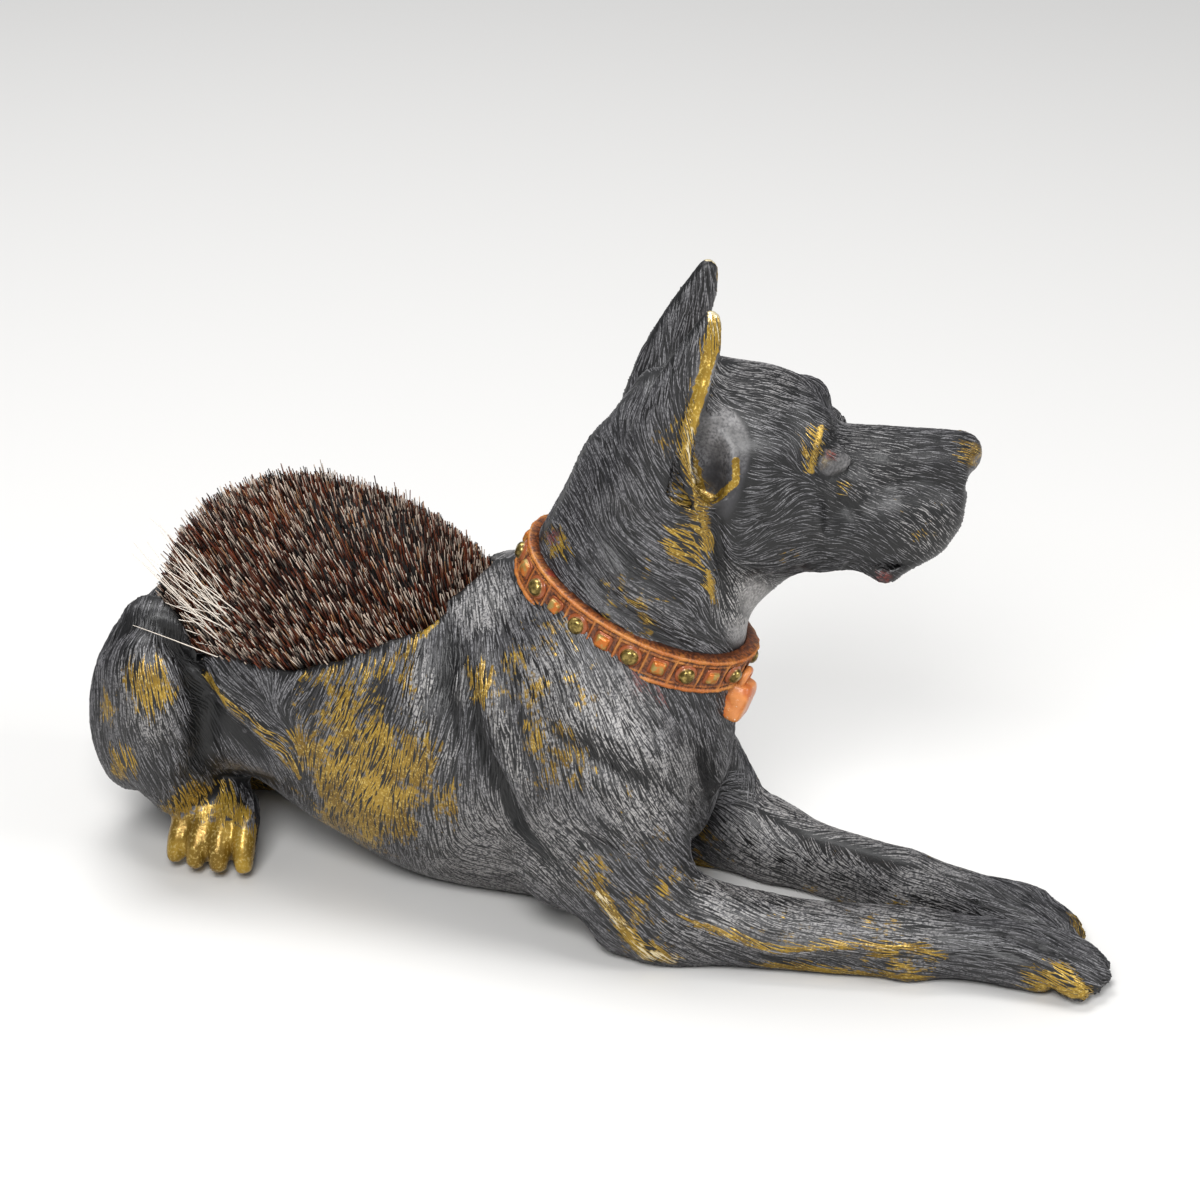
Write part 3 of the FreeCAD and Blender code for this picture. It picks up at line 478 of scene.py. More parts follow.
# throat under the jaw
skull.join(skull.ofBall((11.4, 0, 41.8), (5.4, 4.4, 4.4), leaning(0, 25)), 3.0)
for side in (-1, 1):
    # the eye: a socket, the eyeball and its lids
    skull.carve(skull.ofBall((21.2, side * 6.6, 56.7), (2.3, 1.4, 1.6), leaning(side * -28, 0)), 0.9)
    skull.join(skull.ofBall((20.8, side * 5.0, 56.6), (1.75, 1.75, 1.6), upright), 0.35)
    for high, depth in ((0.95, 0.5), (-0.95, 0.46)):
        lid = [(19.2, side * 6.6, 56.5), (20.2, side * 6.6, 56.6 + high), (21.6, side * 6.2, 56.6 + high),
               (22.7, side * 5.4, 56.3 + 0.3 * high)]
        skull.join(skull.ofCord(lid, depth), 0.5)
    # nostril and its wing, and the slit of the mouth
    skull.carve(skull.ofCord([(38.1, side * 1.0, 54.6), (37.3, side * 2.1, 54.8), (36.4, side * 3.1, 55.6)],
                             [0.55, 0.7, 0.45]), 0.25)
    skull.carve(skull.ofCord([(35.2, side * 1.9, 47.6), (32.4, side * 3.7, 46.4), (28.6, side * 5.2, 44.4),
                              (25.6, side * 5.9, 43.4),
                              (23.0, side * 5.8, 44.4)], [0.3, 0.5, 0.6, 0.6, 0.35]), 0.5)
skull.carve(skull.ofCord([(38.2, 0, 53.2), (36.9, 0, 51.6), (36.0, 0, 50.0)], [0.2, 0.35, 0.25]), 0.3)
# furrow down the forehead
skull.carve(skull.ofCord([(13.0, 0, 67.8), (18.0, 0, 66.0), (22.0, 0, 61.6), (26.0, 0, 59.7)],
                         [1.0, 1.5, 1.5, 0.8]), 1.4)

# Ears: a blade whose cup opens forward and outward, a thick rim and the notch at its foot.
for side in (-1, 1):
    blade = [(2.4, side * 7.4, 53.4, 6.6, 10.6), (3.1, side * 7.7, 58.6, 6.2, 9.2),
             (4.0, side * 8.0, 63.0, 5.0, 7.4),
             (5.8, side * 8.1, 68.4, 3.4, 5.2), (7.6, side * 8.1, 73.4, 1.9, 2.4)]
    skull.join(skull.ofShape(tube(blade, across, domes=(2.0, 1.3))), 1.6)
for side in (-1, 1):
    cup = [(6.0, side * 9.2, 54.2, 4.2, 6.6), (6.6, side * 9.3, 58.6, 4.6, 6.2),
           (7.2, side * 9.4, 63.0, 3.6, 5.0),
           (8.4, side * 9.3, 68.0, 2.4, 3.4), (9.0, side * 9.0, 71.4, 1.0, 1.4)]
    skull.carve(skull.ofShape(tube(cup, across, domes=(1.6, 0.8))), 0.5)
    rim = [(7.9, side * 8.2, 73.6), (8.1, side * 8.9, 70.4), (6.8, side * 9.9, 66.4),
           (5.4, side * 10.6, 62.2),
           (4.9, side * 10.9, 58.6), (5.6, side * 10.6, 55.0), (7.0, side * 9.9, 52.0)]
    skull.join(skull.ofCord(rim, [0.55, 0.7, 0.8, 0.85, 0.85, 0.75, 0.5]), 0.5)
    notch = [(10.2, side * 8.4, 58.2), (10.7, side * 8.9, 55.8), (9.8, side * 9.3, 53.6),
             (7.6, side * 9.8, 52.6)]
    skull.join(skull.ofCord(notch, [0.4, 0.6, 0.65, 0.6]), 0.5)
neckLow = (collarCentre - 1.4 * collarUp - headPivot) @ headAxes
skull.clip(neckLow, -(collarUp @ headAxes))
skullPoints, skullFaces = skull.surface()
print("head surface", len(skullPoints), len(skullFaces))
skullWorld = fromHead(skullPoints)


# A colour code of the form #rrggbb as linear values.
def srgb(code):
    parts = [int(code[i:i + 2], 16) / 255 for i in (1, 3, 5)]
    return tuple(c / 12.92 if c <= 0.04045 else ((c + 0.055) / 1.055) ** 2.4 for c in parts) + (1.0,)


def meshPiece(name, points, faces):
    mesh = bpy.data.meshes.new(name)
    corners = faces.shape[1]
    mesh.vertices.add(len(points))
    mesh.vertices.foreach_set("co", (points * millimetre).astype(np.float32).ravel())
    mesh.loops.add(faces.size)
    mesh.loops.foreach_set("vertex_index", faces.astype(np.int32).ravel())
    mesh.polygons.add(len(faces))
    mesh.polygons.foreach_set("loop_start", np.arange(0, faces.size, corners, dtype=np.int32))
    mesh.polygons.foreach_set("use_smooth", np.ones(len(faces), dtype=bool))
    mesh.update()
    piece = bpy.data.objects.new(name, mesh)
    bpy.context.scene.collection.objects.link(piece)
    return piece


# The photograph's camera again, now as Blender's.
def setCamera():
    lens = bpy.data.cameras.new("camera")
    lens.sensor_width = 36.0
    lens.lens = focalPixels * 36.0 / camera["imageWidth"]
    lens.clip_start = 0.01
    eye = bpy.data.objects.new("camera", lens)
    eye.location = cameraPlace * millimetre
    eye.rotation_euler = (math.radians(90 - camera["elevation"]), 0.0, math.radians(camera["azimuth"]))
    bpy.context.scene.collection.objects.link(eye)
    bpy.context.scene.camera = eye


def vertexNormals(points, faces):
    diagonalOne = points[faces[:, 2]] - points[faces[:, 0]]
    diagonalTwo = points[faces[:, 3]] - points[faces[:, 1]]
    facing = np.cross(diagonalOne, diagonalTwo)
    normals = np.stack([np.bincount(faces.ravel(), weights=np.repeat(facing[:, i], 4), minlength=len(points))
                        for i in range(3)], axis=1)
    return normals / np.maximum(np.linalg.norm(normals, axis=1), 1e-12)[:, None]


def smoothStep(low, high, value):
    t = np.clip((value - low) / (high - low), 0, 1)
    return t * t * (3 - 2 * t)


# Distance in pixels from each place to a drawn line, and how far along the line it lies, 0 to 1.
def toLine(places, line):
    line = np.array(line, dtype=float)
    steps = np.linalg.norm(np.diff(line, axis=0), axis=1)
    starts = np.concatenate([[0.0], np.cumsum(steps)])
    nearest = np.full(len(places), 1e9)
    share = np.zeros(len(places))
    for start, end, before, step in zip(line, line[1:], starts, steps):
        t = np.clip(((places - start) @ (end - start)) / step ** 2, 0, 1)
        gap = np.linalg.norm(places - start - t[:, None] * (end - start), axis=1)
        closer = gap < nearest
        nearest[closer] = gap[closer]
        share[closer] = (before + t[closer] * step) / starts[-1]
    return nearest, share


# Points of the figure as the photograph shows their side: the far side is mirrored onto the
# near one. The head is mirrored in its own plane.
class Seen:
    def __init__(self, local, normals, isHead):
        self.isHead = isHead
        self.flip = np.ones_like(local)
        self.flip[:, 1] = np.where(local[:, 1] > 0, -1.0, 1.0)
        near = local * self.flip
        self.normals = normals * self.flip
        if isHead:
            near = fromHead(near)
            self.normals = self.normals @ headAxes.T
        self.pixels = toPixels(near)
        self.facing = self.normals @ cameraBack

    # Directions in the picture laid onto the surface, in the field's own frame.
    def laid(self, flat):
        flat = flat[:, :1] * cameraRight - flat[:, 1:2] * cameraUp
        depth = np.where(self.facing < 0, -1.0, 1.0) * np.maximum(np.abs(self.facing), 0.35)
        lie = flat - cameraBack * ((flat * self.normals).sum(axis=1) / depth)[:, None]
        lie -= self.normals * (lie * self.normals).sum(axis=1)[:, None]
        lie /= np.maximum(np.linalg.norm(lie, axis=1), 1e-9)[:, None]
        if self.isHead:
            lie = lie @ headAxes
        return lie * self.flip

    def spots(self, blobs):
        total = np.zeros(len(self.pixels))
        for u, v, radius, strength in blobs:
            gap = np.hypot(self.pixels[:, 0] - u, self.pixels[:, 1] - v) / radius
            total = np.maximum(total, strength * (1 - smoothStep(0.4, 1.3, gap)))
        return total

    # How far the traced lines raise the surface here.
    def raised(self, lines):
        total = np.zeros(len(self.pixels))
        for line, halfWidth, height in lines:
            gap, share = toLine(self.pixels, line)
            fade = np.sin(np.pi * np.clip(share, 0.04, 0.96)) ** 0.5
            total += height * np.exp(-(gap * camera["mmPerPixel"] / halfWidth) ** 2) * fade
        return total * smoothStep(0.0, 0.2, self.facing)


# Directions in which the hair lies, as seen in the photograph: place, direction, length and
# width of a stroke in millimetres.
bodyFlow = np.array([
    (600, 700, 0.35, 1, 4.4, 0.42), (640, 770, 0.5, 1, 4.4, 0.42), (670, 830, 0.8, 1, 3.4, 0.42),
    (560, 760, 0.2, 1, 4.4, 0.42), (520, 700, 0.1, 1, 3.4, 0.42), (500, 760, 0.05, 1, 4.4, 0.42),
    (560, 640, 0.5, 1, 3.2, 0.42), (640, 700, 0.6, 1, 3.2, 0.42), (700, 740, 0.35, 1, 3.0, 0.42),
    (600, 850, 0.9, 1, 3.4, 0.42), (640, 900, 1, 0.9, 3.4, 0.36), (455, 690, -0.15, 1, 3.4, 0.42),
    (430, 760, -0.35, 1, 4.4, 0.42), (370, 780, -0.5, 1, 4.4, 0.42), (330, 720, -0.6, 1, 4.4, 0.42),
    (380, 710, -0.5, 1, 3.4, 0.42), (300, 690, -0.8, 1, 3.2, 0.42), (420, 830, 0.1, 1, 3.2, 0.42),
    (480, 862, 1, 0.15, 4.2, 0.3), (560, 850, 0.7, 0.7, 3.4, 0.36), (235, 700, 1, 0.6, 3.0, 0.36),
    (270, 730, 1, 0.8, 3.0, 0.36), (150, 690, 0.12, 1, 4.4, 0.36), (115, 700, -0.1, 1, 4.2, 0.36),
    (185, 650, 0.5, 1, 3.2, 0.42), (130, 620, -0.6, 1, 3.0, 0.42), (190, 740, 0.5, 1, 3.0, 0.36),
    (205, 830, 0.08, 1, 3.0, 0.3), (150, 760, 0.3, 1, 3.0, 0.36), (700, 920, 1, 0.4, 3.6, 0.36),
    (800, 930, 1, 0.14, 4.6, 0.3), (900, 935, 1, 0.1, 4.6, 0.3), (980, 935, 1, 0.1, 4.0, 0.3),
    (1050, 955, 1, 0.45, 3.6, 0.3), (760, 880, 1, 0.5, 4.0, 0.3), (720, 800, 0.5, 1, 3.2, 0.36),
    (800, 850, 1, 0.5, 4.0, 0.3), (900, 880, 1, 0.15, 4.4, 0.3)])
headFlow = np.array([
    (600, 560, 0.7, 1, 3.4, 0.42), (570, 540, 0.5, 1, 3.2, 0.42), (640, 600, 1, 0.55, 3.6, 0.42),
    (610, 500, 0.1, 1, 3.2, 0.38), (640, 540, 1, 0.7, 3.4, 0.42), (680, 570, 1, 0.25, 3.2, 0.42),
    (680, 640, 1, 0.45, 3.2, 0.38), (690, 520, 1, 0.2, 2.8, 0.38), (650, 470, 0.5, 1, 3.0, 0.38),
    (715, 600, 0.15, 1, 3.0, 0.32), (712, 540, 0.2, 1, 2.6, 0.32), (660, 420, 0.3, 1, 3.0, 0.38),
    (690, 350, -0.25, 1, 3.0, 0.3), (640, 400, -0.5, 1, 3.0, 0.32), (755, 600, 0.25, 1, 2.6, 0.24),
    (750, 540, 0.9, -0.6, 2.4, 0.24), (790, 560, 1, -0.35, 2.2, 0.24), (780, 500, 0.9, -0.8, 2.2, 0.24),
    (750, 380, 1, 0.1, 2.4, 0.24), (790, 390, 1, 0.35, 2.2, 0.24), (770, 430, 1, 0.3, 2.2, 0.24),
    (800, 450, 0.5, 1, 2.0, 0.22), (840, 480, 0.8, 0.6, 1.8, 0.22), (830, 530, 1, 0.1, 1.9, 0.22),
    (860, 440, 1, 0.12, 2.0, 0.21), (910, 445, 1, 0.06, 2.0, 0.21), (900, 490, 1, 0.25, 1.8, 0.21),
    (930, 530, 0.7, 0.8, 1.3, 0.21), (880, 550, 0.8, 0.6, 1.6, 0.21)])


# Direction, length and width of the hair at places in the picture.
def flowAt(places, flow):
    gap = np.linalg.norm(places[:, None, :] - flow[None, :, :2], axis=2)
    weight = 1.0 / (gap + 6.0) ** 3
    weight /= weight.sum(axis=1)[:, None]
    direction = flow[:, 2:4] / np.linalg.norm(flow[:, 2:4], axis=1)[:, None]
    return weight @ direction, weight @ flow[:, 4], weight @ flow[:, 5]


# Strokes of hair traced over a field's surface from the starts: their stations and normals,
# in the field's frame, with widths. A stroke is kept where few others already lie.
def traceStrokes(field, isHead, flow, starts, lines, crowding=0.3, stations=4):
    point = starts.copy()
    normal = field.facing(point)
    seen = Seen(point, normal, isHead)
    _, lengths, widths = flowAt(seen.pixels, flow)
    count = len(starts)
    lengths = lengths * draw.uniform(0.7, 1.3, count)
    widths = widths * draw.uniform(0.85, 1.2, count)
    sway = draw.normal(0, 0.08, count)
    bend = draw.normal(0, 0.07, count)
    places, normals = [], []
    for station in range(stations):
        places.append(point)
        normals.append(normal)
        if station == stations - 1:
            break
        flat, _, _ = flowAt(seen.pixels, flow)
        lie = seen.laid(flat)
        turn = (sway + bend * station)[:, None]
        lie = lie * np.cos(turn) + np.cross(normal, lie) * np.sin(turn)
        point = point + lie * (lengths / (stations - 1))[:, None]
        normal = field.facing(point)
        point = point - normal * field.at(point)[:, None]
        seen = Seen(point, normal, isHead)
    places, normals = np.stack(places, axis=1), np.stack(normals, axis=1)
    folded = (normals[:, 0] * normals[:, -1]).sum(axis=1) < 0.3
    keys = np.floor(places / crowding).astype(int)
    middles = np.floor(0.5 * (places[:, 1:] + places[:, :-1]) / crowding).astype(int)
    keys = np.concatenate([keys, middles], axis=1)
    packed = (keys[:, :, 0] * 4096 + keys[:, :, 1]) * 4096 + keys[:, :, 2]
    taken, kept = set(), []
    for index, row in enumerate(packed.tolist()):
        if folded[index]:
            continue
        mine = set(row)
        if len(mine & taken) * 2 <= len(mine):
            taken |= mine
            kept.append(index)
    kept = np.array(kept)
    places, normals = places[kept], normals[kept]
    flatPlaces, flatNormals = places.reshape(-1, 3), normals.reshape(-1, 3)
    raised = Seen(flatPlaces, flatNormals, isHead).raised(lines)
    flatPlaces = flatPlaces + flatNormals * raised[:, None]
    return flatPlaces.reshape(places.shape), normals, widths[kept]


# Lines of the casting traced in the photograph: places, half width and height in millimetres,
# where a negative height is a groove.
bodyLines = [
    ([(425, 640), (412, 700), (436, 775)], 1.5, 0.9),
    ([(450, 640), (444, 690), (458, 740)], 1.1, -1.1),
    ([(462, 655), (486, 755), (516, 815), (556, 870)], 1.0, -1.5),
    ([(480, 660), (502, 740), (534, 820)], 1.7, 1.0),
    ([(536, 690), (566, 742), (622, 776), (682, 800)], 1.3, -0.9),
    ([(520, 672), (560, 715), (640, 748), (700, 762)], 1.6, 0.5),
    ([(579, 834), (632, 862)], 1.0, -0.8),
    ([(560, 800), (600, 830), (650, 840)], 1.5, 0.5),
    ([(380, 660), (372, 720), (396, 790)], 1.1, -0.7),
    ([(340, 700), (350, 760), (390, 815)], 1.1, -0.4),
    ([(697, 745), (706, 775), (712, 810)], 1.0, -1.0),
    ([(205, 672), (229, 703), (257, 723), (281, 749), (301, 776)], 0.9, 1.0),
    ([(200, 700), (225, 722), (250, 742), (268, 762)], 1.2, -0.9),
    ([(112, 640), (134, 626), (156, 628), (186, 652), (205, 700), (206, 748), (188, 776)], 1.5, -1.9),
    ([(138, 650), (150, 700), (156, 752)], 3.4, 1.0),
    ([(600, 894), (645, 953), (673, 958)], 0.8, 0.5),
    ([(697, 925), (773, 950), (843, 946), (912, 946), (947, 956)], 0.8, 0.6),
    ([(720, 946), (790, 962), (860, 960), (930, 964)], 0.6, -0.5),
    ([(700, 870), (690, 905), (720, 925)], 1.0, -0.6),
    ([(1010, 938), (1040, 948), (1068, 968)], 0.5, -0.5),
    ([(990, 948), (1020, 958), (1044, 978)], 0.5, -0.5),
]
headLines = [
    ([(836, 470), (846, 500), (868, 540)], 0.8, -0.45),
    ([(812, 500), (818, 530), (840, 560)], 0.9, 0.35),
    ([(745, 470), (752, 510), (780, 545)], 1.0, -0.45),
    ([(885, 450), (900, 500), (905, 540)], 1.2, 0.25),
    ([(590, 520), (640, 575), (700, 612)], 1.0, -0.6),
    ([(580, 560), (630, 615), (700, 655)], 1.0, -0.5),
    ([(585, 540), (636, 596), (702, 634)], 1.0, 0.4),
    ([(715, 500), (722, 560), (726, 620)], 0.8, -0.8),
    ([(700, 500), (704, 560), (712, 620)], 0.9, 0.4),
    ([(560, 552), (600, 610), (660, 650), (715, 665)], 0.45, 0.35),
]

# Where the paint is rubbed through to the metal: spots (place, radius, strength) and lines
# (places, half width in pixels, strength, paleness).
bodySpots = [
    (370, 790, 75, 0.6), (350, 735, 60, 0.45), (320, 690, 35, 0.3), (412, 690, 22, 0.45),
    (415, 760, 30, 0.5),
    (440, 810, 30, 0.4), (330, 760, 40, 0.45), (395, 815, 40, 0.55),
    (300, 750, 25, 0.45), (520, 690, 45, 0.4), (480, 690, 25, 0.5), (550, 640, 30, 0.35),
    (560, 760, 45, 0.4),
    (640, 840, 50, 0.25), (600, 880, 30, 0.35), (640, 930, 35, 0.4), (590, 700, 40, 0.3),
    (670, 880, 30, 0.3),
    (150, 690, 30, 0.75), (112, 710, 20, 0.4), (125, 768, 16, 0.8), (205, 830, 50, 0.95),
    (820, 950, 60, 0.22),
    (900, 950, 40, 0.4), (1060, 985, 26, 0.7), (700, 900, 30, 0.2)]
bodyEdges = [
    ([(300, 678), (353, 682), (385, 674), (416, 646), (436, 622)], 3.5, 0.62, 0.1),
    ([(211, 683), (229, 703), (257, 723), (281, 749), (301, 776)], 2.6, 0.6, 0.1),
    ([(600, 894), (645, 953), (673, 958)], 5.0, 1.0, 0.7),
    ([(697, 925), (773, 950), (843, 946), (912, 946), (947, 956)], 4.0, 0.5, 0.1),
    ([(773, 967), (850, 974), (926, 977)], 3.5, 0.5, 0.0),
    ([(1040, 990), (1065, 994), (1085, 992)], 6.0, 0.8, 0.2)]
headSpots = [
    (640, 600, 50, 0.3), (600, 640, 22, 0.25), (690, 545, 25, 0.6), (692, 500, 22, 0.65),
    (560, 545, 18, 0.4),
    (660, 440, 22, 0.3), (970, 455, 14, 0.8), (930, 525, 35, 0.3), (790, 555, 12, 0.35),
    (705, 285, 16, 0.85),
    (650, 650, 30, 0.25), (845, 489, 8, 0.6), (815, 450, 18, 0.45)]
headEdges = [
    ([(715, 307), (719, 323), (708, 361), (697, 402), (689, 432), (688, 455), (698, 485),
    (702, 505)], 6.5, 1.0, 0.0),
    ([(714, 310), (716, 335)], 6.0, 1.0, 0.9),
    ([(690, 430), (689, 455), (696, 480)], 4.0, 1.0, 0.6),
    ([(736, 461), (736, 482), (715, 499), (701, 493)], 4.0, 0.8, 0.1),
    ([(704, 515), (710, 545)], 6.0, 0.6, 0.1),
    ([(708, 572), (713, 600)], 4.5, 0.6, 0.1),
    ([(821, 428), (816, 448), (811, 470)], 4.0, 0.62, 0.1)]
bodyStain = [(640, 688, 9, 0.6), (662, 699, 6, 0.8)]
headStain = [(831, 455, 5, 1.0), (885, 578, 7, 0.8), (555, 540, 7, 0.8)]
# Spots (place, radius, strength) where the raised paint is speckled pale grey: dust, and on the chest a
# painted highlight.
bodyDustAndHighlight = [
    (600, 740, 70, 0.75), (640, 800, 50, 0.7), (560, 690, 40, 0.6), (425, 690, 16, 0.9), (440, 760, 18, 0.6),
    (680, 780, 40, 0.5), (560, 850, 50, 0.6), (480, 600, 40, 0.6), (740, 900, 50, 0.6),
    (480, 862, 70, 0.6), (800, 915, 60, 0.5), (620, 770, 40, 0.5), (700, 930, 40, 0.3), (450, 690, 25, 0.5),
    (620, 730, 30, 0.4), (900, 920, 60, 0.4), (200, 800, 20, 0.3)]
headDustAndHighlight = [
    (752, 606, 40, 1.0), (725, 430, 34, 0.4), (716, 380, 24, 0.4), (870, 470, 50, 0.35),
    (930, 530, 35, 0.6), (770, 380, 40, 0.3)]


# Raises and sinks a surface by its lines and gives the wear of its paint, its stains, and its spots of dust
# and painted highlight.
def dress(points, faces, isHead, lines, spots, edges, dustAndHighlight, stain, bald):
    normals = vertexNormals(points, faces)
    seen = Seen(points, normals, isHead)
    points = points + normals * seen.raised(lines)[:, None]
    normals = vertexNormals(points, faces)
    firm, pale = worn(seen, edges)
    depth = seen.raised(lines)
    coat = {"depth": depth, "edge": firm, "pale": pale, "rub": seen.spots(spots),
            "dustAndHighlight": seen.spots(dustAndHighlight), "stain": seen.spots(stain), "bald": bald}
    return points, normals, coat


# How bare and how pale the metal is along the worn edges.
def worn(seen, edges):
    firm, pale = np.zeros(len(seen.pixels)), np.zeros(len(seen.pixels))
    for line, halfWidth, strength, paleness in edges:
        gap, share = toLine(seen.pixels, line)
        ragged = 1 + 0.12 * np.sin(60 * share + 3 * np.sin(31 * share))
        close = strength * smoothStep(1.7, 0.5, gap / (halfWidth * ragged)) * (seen.facing > 0.05)
        firm = np.maximum(firm, close)
        pale = np.maximum(pale, paleness * close)
    return firm, pale


# Ridges of hair laid on the surface, in pieces named by the labels of their middles.
def hairPieces(field, isHead, flow, count, lines, spots, edges, dustAndHighlight, stain, allowed, labelOf, replaced):
    vertices = bodyPoints if not isHead else skullPoints
    starts = vertices[draw.choice(np.flatnonzero(allowed), size=count)]
    places, normals, widths = traceStrokes(field, isHead, flow, starts, lines)
    strokes, stations = places.shape[:2]
    middle = places[:, stations // 2]
    seen = Seen(middle, normals[:, stations // 2], isHead)
    firm, _ = worn(seen, edges)
    depth = seen.raised(lines)
    chance = draw.uniform(0, 1, strokes)
    rubbed = np.maximum(seen.spots(spots), 1.3 * firm)
    dustAndHighlightMarks = seen.spots(dustAndHighlight)
    stained = seen.spots(stain)
    along = np.gradient(places, axis=1)
    along /= np.maximum(np.linalg.norm(along, axis=2), 1e-9)[:, :, None]
    beside = np.cross(normals, along)
    taper = np.array([0.3, 1.0, 0.85, 0.12])
    half = 0.5 * widths[:, None, None] * taper[None, :, None]
    lift = (0.3 * widths * draw.uniform(0.75, 1.2, strokes))[:, None, None] * taper[None, :, None]
    left = places - beside * half - 0.05 * normals
    right = places + beside * half - 0.05 * normals
    crest = places + normals * lift
    points = np.stack([left, crest, right], axis=2).reshape(strokes, stations * 3, 3)
    if isHead:
        points = fromHead(points.reshape(-1, 3)).reshape(points.shape)
    grid = np.arange(stations * 3).reshape(stations, 3)
    quads = np.stack([grid[:-1, :-1], grid[1:, :-1], grid[1:, 1:], grid[:-1, 1:]], axis=-1)
    quads = quads.reshape(-1, 4)[:, ::-1]
    labels = labelOf(middle)
    crests = np.tile(np.array([0.0, 1.0, 0.0]), stations)
    for label, nodes in replaced.items():
        mine = np.flatnonzero(labels == label)
        if len(mine) == 0:
            continue
        faces = (quads[None] + (np.arange(len(mine)) * stations * 3)[:, None, None]).reshape(-1, 4)
        piece = meshPiece(label + "Hair", points[mine].reshape(-1, 3), faces)
        piece.data.materials.append(paintedHair)
        marks = {"rub": rubbed, "chance": chance, "dustAndHighlight": dustAndHighlightMarks, "stain": stained, "depth": depth}
        for name, values in marks.items():
            addAttribute(piece, name, np.repeat(values[mine], stations * 3))
        addAttribute(piece, "crest", np.tile(crests, len(mine)))
        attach(piece, "figure")
        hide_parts(*nodes)
        print(label, "strokes", len(mine))


brushLocal = (bodyPoints - brushCentre) @ np.stack([brushForward, np.array([0, 1.0, 0]), brushUp], axis=1)
ovalPlace = np.hypot(brushLocal[:, 0] / 20.8, brushLocal[:, 1] / 12.0)
inPocket = (ovalPlace < 1.012) & (brushLocal[:, 2] > -20) & (brushLocal[:, 2] < 8)
hindPaw = {"x": -35.2, "halfWidth": 7.5, "y": -9.0, "top": 8.0, "wornTop": 7.6}
onPaw = np.abs(bodyPoints[:, 0] - hindPaw["x"]) < hindPaw["halfWidth"]
onPaw = onPaw * (bodyPoints[:, 2] < hindPaw["top"])
toes = smoothStep(2.0, 0.0, bodyPoints[:, 1] - hindPaw["y"]) * onPaw
bodyBald = np.maximum(np.maximum(inPocket, toes), bodyPoints[:, 2] < 0.4).astype(float)
sided = np.sign(skullPoints[:, 1:2])


# How far each point of the head lies from the middle of a ball, as a share of the ball's half sizes.
def farFrom(x, aside, z, sizes):
    middle = np.array([x, 0, z]) + np.array([0, aside, 0]) * sided
    return np.linalg.norm((skullPoints - middle) / sizes, axis=1)


noseGap = farFrom(37.4, 0.0, 54.4, [2.4, 3.4, 2.6])
eyeGap = farFrom(20.9, 6.0, 56.5, [2.3, 1.6, 1.5])
cupGap = farFrom(8.4, 8.8, 61.5, [3.6, 3.0, 10.6])
headBald = smoothStep(1.15, 0.95, np.minimum(np.minimum(noseGap, eyeGap), cupGap))
throatSpots = [(756, 598, 24, 1.0), (741, 632, 20, 1.0)]
throat = Seen(skullPoints, vertexNormals(skullPoints, skullFaces), True).spots(throatSpots)
headBald = np.maximum(headBald, throat)
bodyBase, bodyNormals, bodyCoat = dress(
    bodyPoints, bodyFaces, False, bodyLines, bodySpots, bodyEdges, bodyDustAndHighlight, bodyStain, bodyBald)
wornToes = 0.62 * toes * smoothStep(hindPaw["wornTop"], 6.0, bodyPoints[:, 2])
bodyCoat["edge"] = np.maximum(bodyCoat["edge"], wornToes)
skullBase, skullNormals, skullCoat = dress(
    skullPoints, skullFaces, True, headLines, headSpots, headEdges, headDustAndHighlight, headStain, headBald)
skullWorld = fromHead(skullBase)
skullNormals = skullNormals @ headAxes.T
print("surfaces dressed")


def addAttribute(piece, name, values):
    layer = piece.data.attributes.new(name, "FLOAT", "POINT")
    layer.data.foreach_set("value", np.asarray(values, dtype=np.float32).ravel())


